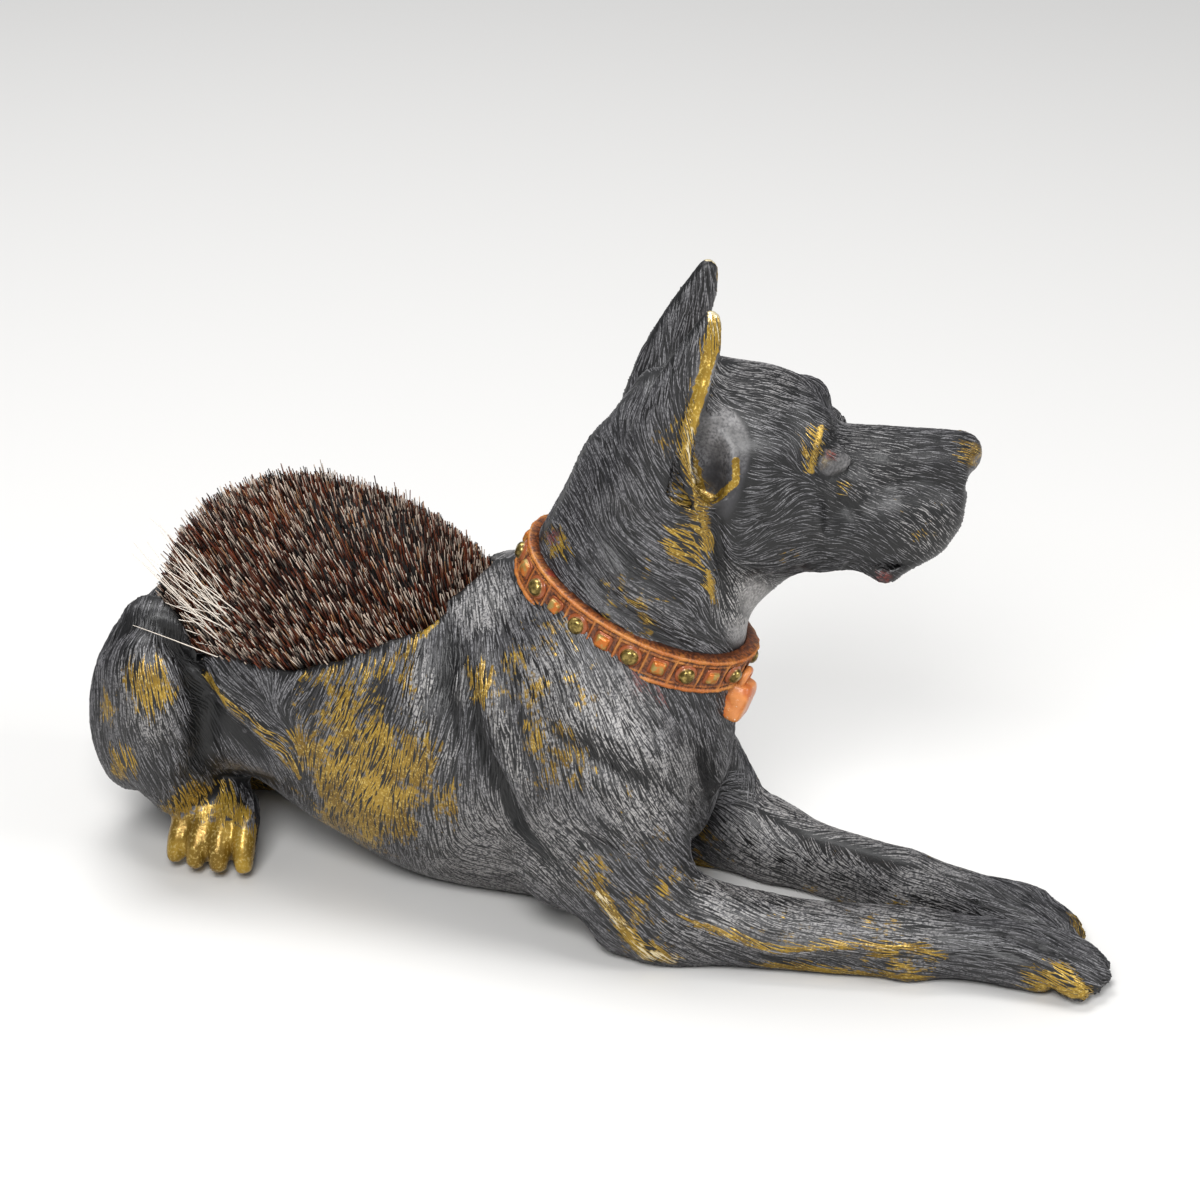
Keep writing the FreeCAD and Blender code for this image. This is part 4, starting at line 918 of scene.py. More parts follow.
# A small set of helpers that build a material's node tree.
class Paint:
    def __init__(self, name, colour="#808080", roughness=0.5, metallic=0.0):
        self.material = bpy.data.materials.new(name)
        self.material.use_nodes = True
        self.tree = self.material.node_tree
        self.shader = self.tree.nodes["Principled BSDF"]
        self.shader.inputs["Base Color"].default_value = srgb(colour)
        self.shader.inputs["Roughness"].default_value = roughness
        self.shader.inputs["Metallic"].default_value = metallic
        self.place = self.tree.nodes.new("ShaderNodeTexCoord").outputs["Object"]

    def put(self, socket, value):
        if isinstance(value, bpy.types.NodeSocket):
            self.tree.links.new(value, socket)
        else:
            socket.default_value = value

    def attribute(self, name):
        made = self.tree.nodes.new("ShaderNodeAttribute")
        made.attribute_name = name
        return made.outputs["Fac"]

    # Noise whose grains are about the given size in millimetres.
    def noise(self, grain, detail=3.0):
        made = self.tree.nodes.new("ShaderNodeTexNoise")
        self.put(made.inputs["Vector"], self.place)
        self.put(made.inputs["Scale"], 1000.0 / grain)
        self.put(made.inputs["Detail"], detail)
        return made.outputs["Fac"]

    def maths(self, kind, one, two):
        made = self.tree.nodes.new("ShaderNodeMath")
        made.operation = kind
        self.put(made.inputs[0], one)
        self.put(made.inputs[1], two)
        return made.outputs[0]

    def times(self, one, two):
        return self.maths("MULTIPLY", one, two)

    def plus(self, one, two):
        return self.maths("ADD", one, two)

    def minus(self, one, two):
        return self.maths("SUBTRACT", one, two)

    def larger(self, one, two):
        return self.maths("MAXIMUM", one, two)

    def spread(self, value, low, high, top=1.0):
        made = self.tree.nodes.new("ShaderNodeMapRange")
        made.interpolation_type = "SMOOTHSTEP"
        for name, one in (("Value", value), ("From Min", low), ("From Max", high), ("To Max", top)):
            self.put(made.inputs[name], one)
        return made.outputs["Result"]

    def mix(self, share, one, two):
        made = self.tree.nodes.new("ShaderNodeMix")
        made.data_type = "RGBA"
        self.put(made.inputs["Factor"], share)
        colours = [socket for socket in made.inputs if socket.type == "RGBA"]
        for socket, value in zip(colours, (one, two)):
            self.put(socket, srgb(value) if isinstance(value, str) else value)
        return next(socket for socket in made.outputs if socket.type == "RGBA")

    def bump(self, height, depth, strength=1.0):
        made = self.tree.nodes.new("ShaderNodeBump")
        self.put(made.inputs["Strength"], strength)
        self.put(made.inputs["Distance"], depth * millimetre)
        self.put(made.inputs["Height"], height)
        self.put(self.shader.inputs["Normal"], made.outputs["Normal"])

    def finish(self, colour=None, roughness=None, metallic=None):
        for name, value in (("Base Color", colour), ("Roughness", roughness), ("Metallic", metallic)):
            if value is not None:
                self.put(self.shader.inputs[name], value)
        return self.material


# Cold paint over bronze: painted shade darkens the hollows, and where it stands proud it takes a painted
# highlight and dust and is rubbed through to the metal.
def bronzeColour(paint, height, rub, edge, pale, rough=0.13):
    dustAndHighlight, stain = paint.attribute("dustAndHighlight"), paint.attribute("stain")
    grit, patches = paint.noise(0.3), paint.noise(5.0)
    # the traced grooves and folds are painted darker: painted shade in the creases
    creaseShade = paint.spread(paint.times(paint.attribute("depth"), -1.0), 0.1, 1.0, 0.8)
    height = paint.minus(height, creaseShade)
    # low places near black, high ones charcoal: painted shade in the hollows beside and between the strokes
    colour = paint.mix(paint.spread(height, 0.0, 1.0), "#0a0a0b", "#3b3a3d")
    # the crests take a lighter grey: a painted highlight
    ridgeHighlight = paint.times(paint.spread(height, 0.45, 0.95), paint.spread(grit, 0.36, 0.58))
    colour = paint.mix(ridgeHighlight, colour, "#767577")
    # the traced ridges and the dust spots take pale grey speckles: dust, and a painted highlight on the
    # ridges and the chest
    proud = paint.spread(paint.attribute("depth"), 0.1, 0.9, 0.7)
    bright = paint.larger(dustAndHighlight, proud)
    speckled = paint.times(paint.spread(grit, 0.48 - rough, 0.48 + rough), paint.spread(height, 0.1, 0.7))
    grey = paint.times(bright, speckled)
    colour = paint.mix(grey, colour, "#a5a29f")
    colour = paint.mix(paint.times(stain, paint.spread(grit, 0.35, 0.6)), colour, "#6e2a22")
    rimmed = paint.minus(edge, paint.times(grit, 0.6))
    bare = paint.larger(rub, paint.spread(rimmed, 0.1, 0.3))
    metal = paint.mix(paint.spread(patches, 0.35, 0.65), "#755a1c", "#a3832f")
    metal = paint.mix(paint.spread(grit, 0.5, 0.72), metal, "#cdb163")
    metal = paint.mix(paint.spread(pale, 0.3, 0.7), metal, "#d9cba6")
    colour = paint.mix(bare, colour, metal)
    paint.bump(grit, 0.1, 0.3)
    return paint.finish(colour, paint.minus(0.44, paint.times(bare, 0.1)),
                        paint.times(bare, 0.5))


def skinPaint():
    paint = Paint("coldPaintedBronze")
    bald = paint.attribute("bald")
    # under the hair the skin stays near black, as painted shade between the strokes; bare places take a
    # random tone
    height = paint.times(bald, paint.spread(paint.noise(3.0), -0.4, 1.2))
    rub = paint.times(paint.attribute("rub"), bald)
    rub = paint.times(rub, paint.spread(paint.noise(0.9), 0.4, 0.52))
    return bronzeColour(paint, height, rub, paint.attribute("edge"), paint.attribute("pale"), 0.45)


def hairPaint():
    paint = Paint("coldPaintedHair")
    crest = paint.attribute("crest")
    # each stroke is lighter along its crest and dark at its sides: a painted highlight and painted shade
    height = paint.times(paint.spread(crest, 0.1, 1.0), paint.spread(paint.attribute("chance"), -0.6, 0.9))
    patch = paint.plus(paint.noise(2.6), paint.times(paint.noise(0.6), 0.5))
    patch = paint.plus(patch, paint.times(paint.attribute("chance"), 0.12))
    rub = paint.minus(paint.plus(paint.attribute("rub"), 0.43), patch)
    rub = paint.spread(rub, -0.04, 0.1)
    rub = paint.times(rub, paint.spread(crest, 0.25, 0.7))
    return bronzeColour(paint, height, rub, 0.0, 0.0)


paintedBronze = skinPaint()
paintedHair = hairPaint()


# One piece of the figure: the faces chosen, with the whole surface's own normals.
def surfacePiece(name, points, normals, surfaceFaces, coat, chosen, replaced):
    faces = surfaceFaces[chosen]
    used, back = np.unique(faces, return_inverse=True)
    piece = meshPiece(name, points[used], back.reshape(-1, 4))
    piece.data.normals_split_custom_set_from_vertices(normals[used].tolist())
    for label, values in coat.items():
        addAttribute(piece, label, values[used])
    piece.data.materials.append(paintedBronze)
    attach(piece, "figure")
    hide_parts(replaced)
    print(name, "triangles", 2 * len(faces))


centres = bodyPoints[bodyFaces].mean(axis=1)
names = list(owners)


# The mass that each point of the body belongs to.
def owned(points):
    cells = np.clip(np.round((points - body.low) / voxel).astype(int), 0, body.counts - 1)
    return np.argmin(np.stack([owners[name][tuple(cells.T)] for name in names]), axis=0)


closest = owned(centres)
torsoFaces = closest == names.index("torso")
pocketFaces = inPocket[bodyFaces[:, 0]]
torsoSplit = -3.0     # the torso's skin is shared between two pieces at this x
front = centres[:, 0] > torsoSplit
nodes = {"rightForeleg": "right_foreleg", "leftForeleg": "left_foreleg", "rightHindLeg": "right_hind_leg",
         "leftHindLeg": "left_hind_leg", "tail": "tail"}
torsoShares = {"torsoFront": front, "torsoRear": ~front & ~pocketFaces, "torsoPocket": ~front & pocketFaces}
for name, chosen in torsoShares.items():
    surfacePiece(name, bodyBase, bodyNormals, bodyFaces, bodyCoat, torsoFaces & chosen, "torso_casting")
for name, replaced in nodes.items():
    chosen = closest == names.index(name)
    surfacePiece(name + "Skin", bodyBase, bodyNormals, bodyFaces, bodyCoat, chosen, replaced)


# The ears, as far down as they stand free of the skull.
def onEar(points):
    aside = np.abs(points[:, 1])
    clear = aside > 5.2 + 0.45 * np.maximum(64 - points[:, 2], 0)
    return (points[:, 2] > 60.5) & (points[:, 0] < 10.5) & clear


headCentres = skullPoints[skullFaces].mean(axis=1)
earFaces = onEar(headCentres)
for name, chosen, replaced in (("headSkin", ~earFaces, "head_casting"),
                               ("leftEarSkin", earFaces & (headCentres[:, 1] > 0), "left_ear"),
                               ("rightEarSkin", earFaces & (headCentres[:, 1] < 0), "right_ear")):
    surfacePiece(name, skullWorld, skullNormals, skullFaces, skullCoat, chosen, replaced)

# Hair over the body, but not in the opening, under the brush or on the rest face.
bodyNodes = {"torsoFront": ["torso_casting"], "torsoRear": ["torso_casting"]}
bodyNodes.update({name: [replaced] for name, replaced in nodes.items()})


def bodyLabel(points):
    labels = np.array(names)[owned(points)]
    halves = np.where(points[:, 0] > torsoSplit, "torsoFront", "torsoRear")
    return np.where(labels == "torso", halves, labels)


startPlaces = {"body": 100000, "head": 50000}     # where a stroke of hair may begin
hairPieces(body, False, bodyFlow, startPlaces["body"], bodyLines, bodySpots, bodyEdges, bodyDustAndHighlight,
           bodyStain, bodyBald < 0.5, bodyLabel, bodyNodes)


def headLabel(points):
    ears = np.where(points[:, 1] > 0, "leftEar", "rightEar")
    return np.where(onEar(points), ears, "head")


hairPieces(skull, True, headFlow, startPlaces["head"], headLines, headSpots, headEdges, headDustAndHighlight,
           headStain, headBald < 0.5, headLabel,
           {"head": ["head_casting"], "leftEar": ["left_ear"], "rightEar": ["right_ear"]})

setCamera()


# The brush in its own frame: along the opening, across it, and the way it lifts.
brushAxes = np.stack([brushForward, np.array([0, 1.0, 0]), brushUp], axis=1)
brush = {
    "stockTop": -8.6,
    "rootLength": 19.6,    # half the length and width that the bristles stand on
    "rootWidth": 10.9,
    "domeLength": 22.0,
    "domeWidth": 13.5,
    "domeHeight": 22.6,
    "count": 14500,
    "thickness": 0.14,
    "rowPitch": 2.771,
}


# Quads between the rows of a grid of vertices, closed round each row.
def quadsOf(cells):
    after = np.roll(cells, -1, axis=1)
    return np.stack([cells[:-1], after[:-1], after[1:], cells[1:]], axis=-1).reshape(-1, 4)


def fromBrush(points):
    return points @ brushAxes.T + brushCentre


# Places spread evenly over the stock, each with the way its bristle leans.
def bristleRoots():
    turn = draw.uniform(0, 2 * np.pi, brush["count"])
    far = np.sqrt(draw.uniform(0, 1, brush["count"]))
    halfSizes = np.array([brush["rootLength"], brush["rootWidth"]])
    roots = np.stack([far * np.cos(turn) * halfSizes[0], far * np.sin(turn) * halfSizes[1]], axis=1)
    lean = np.stack([0.24 * roots[:, 0] / halfSizes[0] - 0.13, 0.52 * roots[:, 1] / halfSizes[1],
                     np.ones(brush["count"])], axis=1)
    # tufts lean together, single hairs a little on their own
    tuft = np.stack([np.round(roots[:, 0] / 3.2), np.round(roots[:, 1] / 2.77)], axis=1)
    lean[:, 0] += 0.07 * np.sin(12.9 * tuft[:, 0] + 7.3 * tuft[:, 1])
    lean[:, 1] += 0.06 * np.sin(5.1 * tuft[:, 0] + 17.7 * tuft[:, 1])
    lean[:, :2] += draw.normal(0, 0.07, (brush["count"], 2))
    # at the rear left of the photograph a clump has splayed outward
    splayed = smoothStep(12.5, 17.5, -roots[:, 0]) * smoothStep(7.0, -6.0, roots[:, 1])
    splayed = splayed * (draw.uniform(0, 1, len(roots)) < 0.7)
    lean[:, 0] -= splayed * draw.uniform(0.05, 0.5, len(roots))
    lean[:, 1] -= splayed * draw.uniform(0.0, 0.35, len(roots))
    lean /= np.linalg.norm(lean, axis=1)[:, None]
    return roots, lean, splayed


def bristles():
    roots, lean, splayed = bristleRoots()
    count = len(roots)
    sizes = np.array([brush["domeLength"], brush["domeWidth"], brush["domeHeight"]])
    start = np.column_stack([roots, np.zeros(count)]) / sizes
    way = lean / sizes
    a, b, c = (way ** 2).sum(axis=1), 2 * (start * way).sum(axis=1), (start ** 2).sum(axis=1) - 1
    length = (-b + np.sqrt(np.maximum(b * b - 4 * a * c, 0))) / (2 * a)
    tipPlace = roots[:, 0] + lean[:, 0] * length
    length *= 1 - 0.06 * smoothStep(-14.0, -6.0, tipPlace) - 0.1 * smoothStep(-6.0, 8.0, tipPlace) - (
        0.06 * smoothStep(8.0, 17.0, tipPlace))
    length *= 1 + draw.normal(0, 0.022, count) + 0.07 * splayed
    length = np.clip(length, 2.0, None)
    rings, sides = 5, 3
    share = np.linspace(0, 1, rings) ** 0.8
    curl = draw.normal(0, 0.035, (count, 2)) * length[:, None]
    place = np.column_stack([roots, np.full(count, brush["stockTop"])])[:, None, :] + (
        lean[:, None, :] * (length[:, None] * share)[:, :, None])
    place[:, :, :2] += curl[:, None, :] * (share ** 2)[None, :, None]
    thick = brush["thickness"] * draw.uniform(0.75, 1.2, count)
    radius = thick[:, None] * (1 - 0.55 * share ** 2)[None, :]
    one = np.cross(lean, np.array([1.0, 0, 0]))
    one /= np.linalg.norm(one, axis=1)[:, None]
    two = np.cross(lean, one)
    turn = np.linspace(0, 2 * np.pi, sides, endpoint=False)[None, :] + draw.uniform(0, 2, count)[:, None]
    around = np.cos(turn)[:, :, None] * one[:, None, :] + np.sin(turn)[:, :, None] * two[:, None, :]
    points = place[:, :, None, :] + radius[:, :, None, None] * around[:, None, :, :]
    tone = draw.uniform(0, 1, count)
    paleTip = np.clip(draw.normal(0.55, 0.3, count) + 0.5 * splayed, 0, 1)
    row = np.clip(np.round(roots[:, 1] / brush["rowPitch"]).astype(int) + 3, 0, 6)
    grid = np.arange(rings * sides).reshape(rings, sides)
    after = np.roll(grid, -1, axis=1)
    quads = np.stack([grid[:-1], after[:-1], after[1:], grid[1:]], axis=-1).reshape(-1, 4)
    for index in range(7):
        mine = np.flatnonzero(row == index)
        faces = (quads[None] + (np.arange(len(mine)) * rings * sides)[:, None, None]).reshape(-1, 4)
        piece = meshPiece("bristles%d" % (index + 1), fromBrush(points[mine].reshape(-1, 3)), faces)
        perVertex = rings * sides
        addAttribute(piece, "tone", np.repeat(tone[mine], perVertex))
        addAttribute(piece, "paleTip", np.repeat(paleTip[mine], perVertex))
        addAttribute(piece, "along", np.tile(np.repeat(share, sides), len(mine)))
        addAttribute(piece, "fromTip", np.repeat((length[mine, None] * (1 - share)[None, :]), sides, axis=1))
        addAttribute(piece, "splayed", np.repeat(splayed[mine], perVertex))
        piece.data.materials.append(hogBristle)
        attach(piece, "brush")
        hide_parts("bristle_row_%d" % (index + 1))
    # the dark heart of the brush: painted shade that closes the gaps between the hairs
    rings, around = 14, 64
    turn = np.linspace(0, 2 * np.pi, around, endpoint=False)
    rise = np.linspace(0, 0.5 * np.pi, rings)[:, None]
    shape = np.stack([np.cos(rise) * np.cos(turn) * 19.0, np.cos(rise) * np.sin(turn) * 11.2,
                      np.sin(rise) * np.ones(around) * 18.6 + brush["stockTop"]], axis=-1)
    heart = meshPiece("bristleShadeHeart", fromBrush(shape.reshape(-1, 3)),
                      quadsOf(np.arange(rings * around).reshape(rings, around)))
    heart.data.materials.append(bristleShade)
    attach(heart, "brush")
    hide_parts("bristle_row_4")


def bristlePaint():
    paint = Paint("hogBristle")
    tone, along, splayed = paint.attribute("tone"), paint.attribute("along"), paint.attribute("splayed")
    shaft = paint.mix(paint.spread(tone, 0.25, 0.5), "#0c0908", "#351a12")
    shaft = paint.mix(paint.spread(tone, 0.6, 0.8), shaft, "#6e3520")
    shaft = paint.mix(paint.spread(tone, 0.9, 0.97), shaft, "#a67c58")
    # near black towards the roots: painted shade deep among the hairs
    root = paint.mix(paint.spread(along, 0.35, 0.95), "#070404", shaft)
    nearTip = paint.spread(paint.times(paint.attribute("fromTip"), -1.0), -1.9, -0.3)
    tip = paint.times(nearTip, paint.spread(paint.attribute("paleTip"), 0.62, 0.92, 0.95))
    colour = paint.mix(tip, root, "#dccab8")
    palest = paint.times(paint.spread(splayed, 0.4, 0.9), paint.spread(tone, 0.35, 0.5))
    colour = paint.mix(palest, colour, "#d8cdbd")
    return paint.finish(colour, 0.34)


# Long pale bristles that have splayed over the near left side, as seen in the photograph.
def strays(count=38):
    root = np.column_stack([draw.uniform(-9.0, -4.0, count), draw.uniform(-11.2, -8.8, count),
                            np.zeros(count)])
    root[:, 2] = -5.4 + 0.75 * (root[:, 0] + 9.6) + draw.normal(0, 0.6, count)
    turn = draw.uniform(0.0, 1.0, count) ** 1.3
    way = np.column_stack([-0.36 - 0.5 * turn, -0.06 - 0.16 * draw.uniform(0, 1, count), 1.0 - 0.68 * turn])
    way /= np.linalg.norm(way, axis=1)[:, None]
    length = draw.uniform(9.0, 19.0, count) * (1 - 0.5 * turn)
    share = np.linspace(0, 1, 6)
    bend = draw.normal(0, 0.06, (count, 3))
    place = root[:, None] + way[:, None] * (length[:, None] * share)[:, :, None] + (
        bend[:, None] * length[:, None, None] * (share ** 2)[None, :, None])
    side = np.cross(way, np.array([0.2, 1.0, 0.1]))
    side /= np.linalg.norm(side, axis=1)[:, None]
    other = np.cross(way, side)
    turns = np.linspace(0, 2 * np.pi, 4, endpoint=False)
    around = np.cos(turns)[:, None] * side[:, None] + np.sin(turns)[:, None] * other[:, None]
    points = place[:, :, None] + (0.1 * (1 - 0.6 * share))[None, :, None, None] * around[:, None]
    cells = np.arange(24).reshape(6, 4)
    faces = (quadsOf(cells)[None] + 24 * np.arange(count)[:, None, None]).reshape(-1, 4)
    piece = meshPiece("strayBristles", fromBrush(points.reshape(-1, 3)), faces)
    piece.data.materials.append(Paint("paleBristle", "#d9cfc2", 0.3).material)
    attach(piece, "brush")
    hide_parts("bristle_row_1")


hogBristle = bristlePaint()
bristleShade = Paint("bristleShade", "#0c0807", 0.9).material
bristles()
strays()
print("bristles")

# Collar: a strap round the neck with a bead along each edge and a frame round every stud.
collarSizes = {
    "halfLong": 13.2,     # the neck's oval under the strap
    "halfWide": 10.7,
    "thick": 0.85,
    "halfStrap": 2.2,
    "count": 24,
}
collarAxes = np.stack([collarForward, np.array([0, 1.0, 0]), collarUp], axis=1)


# Points of the collar in the shared frame; its left side hangs lower on the throat.
def fromCollar(points):
    points = np.array(points, dtype=float)
    points[..., 2] -= 1.4 * smoothStep(-1.0, 9.0, points[..., 1]) * smoothStep(0.0, 8.0, points[..., 0])
    return points @ collarAxes.T + collarCentre


def ovalAround(offset, steps):
    turn = np.linspace(0, 2 * np.pi, 7201)
    halfLong, halfWide = collarSizes["halfLong"] + offset, collarSizes["halfWide"] + offset
    ring = np.stack([halfLong * np.cos(turn), halfWide * np.sin(turn)], axis=1)
    run = np.concatenate([[0], np.cumsum(np.linalg.norm(np.diff(ring, axis=0), axis=1))])
    wanted = np.asarray(steps) * run[-1]
    place = np.stack([np.interp(wanted, run, ring[:, i]) for i in range(2)], axis=1)
    outward = place / np.array([halfLong ** 2, halfWide ** 2])
    outward /= np.linalg.norm(outward, axis=1)[:, None]
    return place, outward


def strap():
    around, acrossSteps = 1680, 30
    share = np.linspace(0, 1, around, endpoint=False)
    place, outward = ovalAround(collarSizes["thick"], share)
    height = np.linspace(-1, 1, acrossSteps) * collarSizes["halfStrap"]
    cell = (share * collarSizes["count"]) % 1.0
    gapToWall = np.abs(cell - 0.5)                       # a wall stands midway between two studs
    edge = np.abs(np.abs(height) - 1.94) / 0.28
    bead = 0.34 * np.sqrt(np.clip(1 - edge ** 2, 0, 1))[None, :]
    inner = 0.2 * np.exp(-((np.abs(height) - 1.35) / 0.16) ** 2)[None, :]
    wall = 0.24 * np.exp(-(gapToWall / 0.05) ** 2)[:, None] * (np.abs(height) < 1.6)[None, :]
    wobble = 0.05 * np.sin(37 * share * 2 * np.pi)[:, None] * np.cos(height * 1.7)[None, :]
    proud = np.maximum(np.maximum(bead, inner), wall) + wobble + 0.03 * draw.normal(0, 1, (around, 1))
    points = np.concatenate([place[:, None, :] + outward[:, None, :] * proud[:, :, None],
                             np.broadcast_to(height[None, :, None], (around, acrossSteps, 1))], axis=2)
    inside = np.concatenate([place - 1.3 * outward, np.zeros((around, 1))], axis=1)
    low, high = inside.copy(), inside.copy()
    low[:, 2], high[:, 2] = -collarSizes["halfStrap"], collarSizes["halfStrap"]
    rings = np.concatenate([low[:, None], points, high[:, None]], axis=1)
    flat = np.zeros((around, 1))
    depth = np.concatenate([flat, np.clip(proud / 0.4, 0, 1), flat], axis=1)
    count = acrossSteps + 2
    cells = np.arange(around * count).reshape(around, count)
    after = np.roll(cells, -1, axis=0)
    nextAcross = np.roll(cells, -1, axis=1)
    nextBoth = np.roll(after, -1, axis=1)
    quads = np.stack([cells, after, nextBoth, nextAcross], axis=-1).reshape(-1, 4)
    piece = meshPiece("collarStrap", fromCollar(rings.reshape(-1, 3)), quads)
    addAttribute(piece, "raised", depth)
    piece.data.materials.append(collarPaint)
    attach(piece, "figure")
    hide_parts("collar_strap")


# A stud's outline from its base up: shares of its half width, its height, and how bright it is.
studProfile = [(1.28, -0.3, 0.0), (1.28, 0.12, 0.1), (1.1, 0.2, 0.2), (0.98, 0.22, 0.2), (0.94, 0.5, 0.5),
               (0.8, 0.78, 0.8), (0.55, 0.95, 0.95), (0.25, 1.0, 1.0), (0.02, 1.0, 1.0)]


# A dome or a rounded block on each stud's place; corners 1 is round, below 1 square.
def studPiece(name, odd, corners, width, rise, material, replaced):
    points, quads = [], []
    rings, around = len(studProfile), 28
    turn = np.linspace(0, 2 * np.pi, around, endpoint=False)
    for index in range(1, collarSizes["count"]):
        if index % 2 != odd:
            continue
        place, outward = ovalAround(collarSizes["thick"], [index / collarSizes["count"]])
        place, outward = place[0], outward[0]
        aside = np.array([-outward[1], outward[0]])
        cosine = np.sign(np.cos(turn)) * np.abs(np.cos(turn)) ** corners
        sine = np.sign(np.sin(turn)) * np.abs(np.sin(turn)) ** corners
        size = 0.5 * width * draw.uniform(0.93, 1.07)
        block = []
        for far, high, _ in studProfile:
            lump = 1 + 0.03 * draw.normal(0, 1)
            flat = place + aside * (size * far * lump * cosine)[:, None] + outward * (rise * high)
            block.append(np.column_stack([flat, size * far * sine]))
        block = np.concatenate(block)
        cells = np.arange(rings * around).reshape(rings, around) + sum(len(b) for b in points)
        after = np.roll(cells, -1, axis=1)
        quads.append(np.stack([cells[:-1], after[:-1], after[1:], cells[1:]], axis=-1).reshape(-1, 4))
        points.append(block)
    piece = meshPiece(name, fromCollar(np.vstack(points)), np.vstack(quads))
    piece.data.materials.append(material)
    heights = np.tile(np.repeat([bright for _, _, bright in studProfile], around), len(points))
    addAttribute(piece, "raised", heights)
    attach(piece, "figure")
    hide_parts(replaced)


def collarCoat():
    paint = Paint("orangeCollarPaint")
    raised, grit, patches = paint.attribute("raised"), paint.noise(0.35), paint.noise(3.0)
    # darker in the recesses, as grime and painted shade; lighter on the beads and walls, as a painted
    # highlight
    recess = paint.mix(paint.spread(grit, 0.35, 0.7), "#42200f", "#7a4220")
    ridge = paint.mix(paint.spread(patches, 0.35, 0.68), "#a1591f", "#b97a38")
    proud = paint.plus(raised, paint.times(grit, 0.4))
    colour = paint.mix(paint.spread(proud, 0.3, 0.85), recess, ridge)
    colour = paint.mix(paint.spread(patches, 0.66, 0.78), colour, "#8a3226")
    paint.bump(grit, 0.12, 0.5)
    return paint.finish(colour, 0.42)


def brassStud():
    paint = Paint("dulledBrass")
    raised, grit = paint.attribute("raised"), paint.noise(0.5)
    colour = paint.mix(paint.spread(grit, 0.4, 0.65), "#5e4f26", "#a08a4e")
    colour = paint.mix(paint.spread(raised, 0.15, 0.5), "#8e4a26", colour)
    paint.bump(grit, 0.1, 0.4)
    return paint.finish(colour, 0.3, paint.spread(raised, 0.2, 0.6, 0.75))


def squareStud():
    paint = Paint("wornSquareStud")
    raised, grit = paint.attribute("raised"), paint.noise(0.9)
    colour = paint.mix(paint.spread(grit, 0.42, 0.6), "#b5641f", "#9a8348")
    colour = paint.mix(paint.spread(raised, 0.15, 0.5), "#8e4a26", colour)
    paint.bump(paint.noise(0.3), 0.1, 0.4)
    return paint.finish(colour, 0.36, 0.35)


collarPaint = collarCoat()
strap()
studPiece("roundStuds", 1, 1.0, 1.95, 0.95, brassStud(), "collar_round_studs")
studPiece("squareStuds", 0, 0.35, 1.6, 0.7, squareStud(), "collar_square_studs")


# The lock: a rounded block that is wider below, and the ring it hangs by.
def lockPiece():
    face = collarSizes["halfLong"] + collarSizes["thick"]
    rings, around, links = 25, 40, 48
    rise = np.linspace(-0.5 * np.pi, 0.5 * np.pi, rings)[:, None]
    turn = np.linspace(0, 2 * np.pi, around, endpoint=False)

    def squared(value, exponent):
        return np.sign(value) * np.abs(value) ** exponent

    swell = squared(np.cos(rise), 0.3) * (1 - 0.16 * np.sin(rise))
    block = np.stack([face + 0.6 + 1.7 * swell * squared(np.cos(turn), 0.4),
                      2.2 * swell * squared(np.sin(turn), 0.4),
                      -4.0 + 2.3 * squared(np.sin(rise), 0.5) * np.ones(around)], axis=-1)
    bend = np.linspace(0, 2 * np.pi, links, endpoint=False)[:, None]
    ring = np.stack([face + 0.5 + 0.45 * np.cos(turn) * np.ones((links, 1)),
                     (1.15 + 0.4 * np.sin(turn)) * np.cos(bend),
                     -1.6 + (1.2 + 0.4 * np.sin(turn)) * np.sin(bend)], axis=-1)
    blockCells = np.arange(rings * around).reshape(rings, around)
    ringCells = np.arange(links * around).reshape(links, around) + rings * around
    rows = np.vstack([ringCells, ringCells[:1]])
    faces = [quadsOf(blockCells), quadsOf(rows)]
    points = np.vstack([block.reshape(-1, 3), ring.reshape(-1, 3)])
    piece = meshPiece("collarLock", fromCollar(points), np.vstack(faces))
    piece.data.materials.append(lockPaint())
    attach(piece, "figure")
    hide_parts("collar_lock")


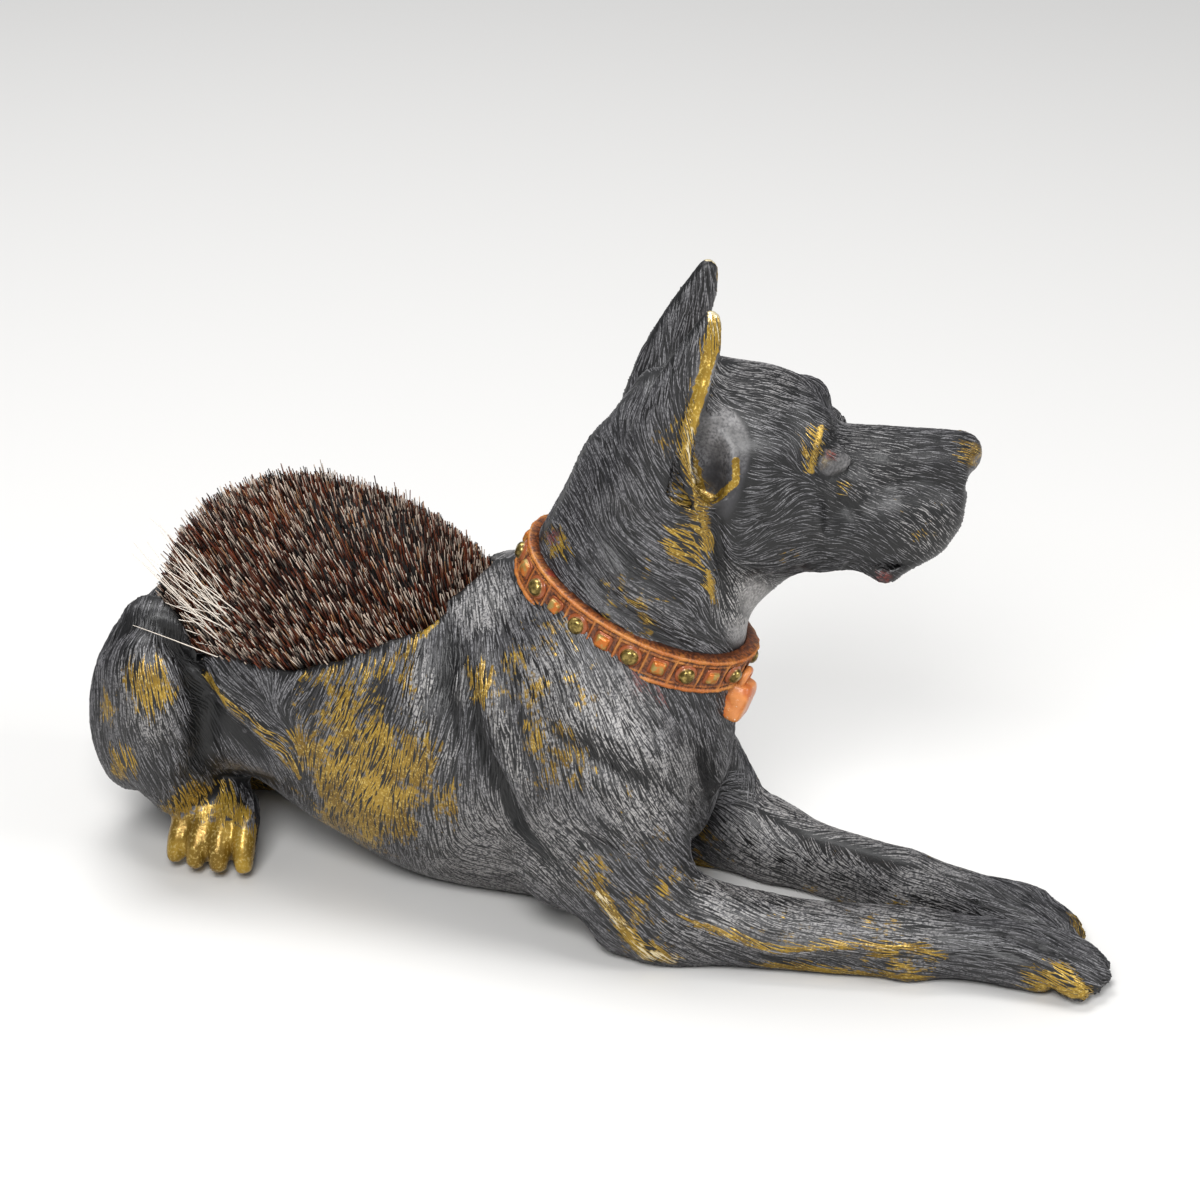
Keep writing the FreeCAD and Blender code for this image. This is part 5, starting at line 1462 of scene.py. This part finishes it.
def lockPaint():
    paint = Paint("paleOrangeLock")
    patches, grit = paint.noise(2.2), paint.noise(0.4)
    colour = paint.mix(paint.spread(patches, 0.4, 0.62), "#b05c28", "#c97f45")
    # pale flecks of painted highlight
    colour = paint.mix(paint.spread(grit, 0.66, 0.78), colour, "#e6d2b8")
    paint.bump(patches, 0.5, 0.6)
    return paint.finish(colour, 0.35)


lockPiece()


def stockWood():
    paint = Paint("stainedBeech")
    colour = paint.mix(paint.noise(2.0), "#2c1a10", "#4a2d1a")
    return paint.finish(colour, 0.6)


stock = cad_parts["brush_stock"]
stock.data.materials.clear()
stock.data.materials.append(stockWood())
print("collar")


# Each lamp's place and width in metres, and its power in watts.
lamps = [("keyLight", (0.10, -0.45, 0.42), 0.22, 3.4), ("sideLight", (0.55, -0.05, 0.35), 0.25, 1.8),
         ("topLight", (-0.15, 0.1, 0.55), 0.30, 2.4)]


def studio():
    scene = bpy.context.scene
    mesh = bpy.data.meshes.new("floor")
    mesh.from_pydata([(-2, -2, 0), (2, -2, 0), (2, 2, 0), (-2, 2, 0)], [], [(0, 1, 2, 3)])
    floor = bpy.data.objects.new("floor", mesh)
    scene.collection.objects.link(floor)
    plain = bpy.data.materials.new("paleFloor")
    plain.use_nodes = True
    plain.node_tree.nodes["Principled BSDF"].inputs["Base Color"].default_value = srgb("#d4d3d1")
    plain.node_tree.nodes["Principled BSDF"].inputs["Roughness"].default_value = 0.8
    mesh.materials.append(plain)
    world = bpy.data.worlds.new("softLight")
    world.use_nodes = True
    world.node_tree.nodes["Background"].inputs["Color"].default_value = srgb("#e8eaee")
    world.node_tree.nodes["Background"].inputs["Strength"].default_value = 0.36
    scene.world = world
    for name, place, size, power in lamps:
        lamp = bpy.data.lights.new(name, "AREA")
        lamp.size = size
        lamp.energy = power
        holder = bpy.data.objects.new(name, lamp)
        holder.location = place
        aim = np.array([0.0, 0.0, 0.03]) - np.array(place)
        holder.rotation_euler = Vector(aim.tolist()).to_track_quat("-Z", "Y").to_euler()
        scene.collection.objects.link(holder)
    scene.view_settings.view_transform = "Standard"
    scene.render.resolution_x = 1200
    scene.render.resolution_y = 1200


studio()
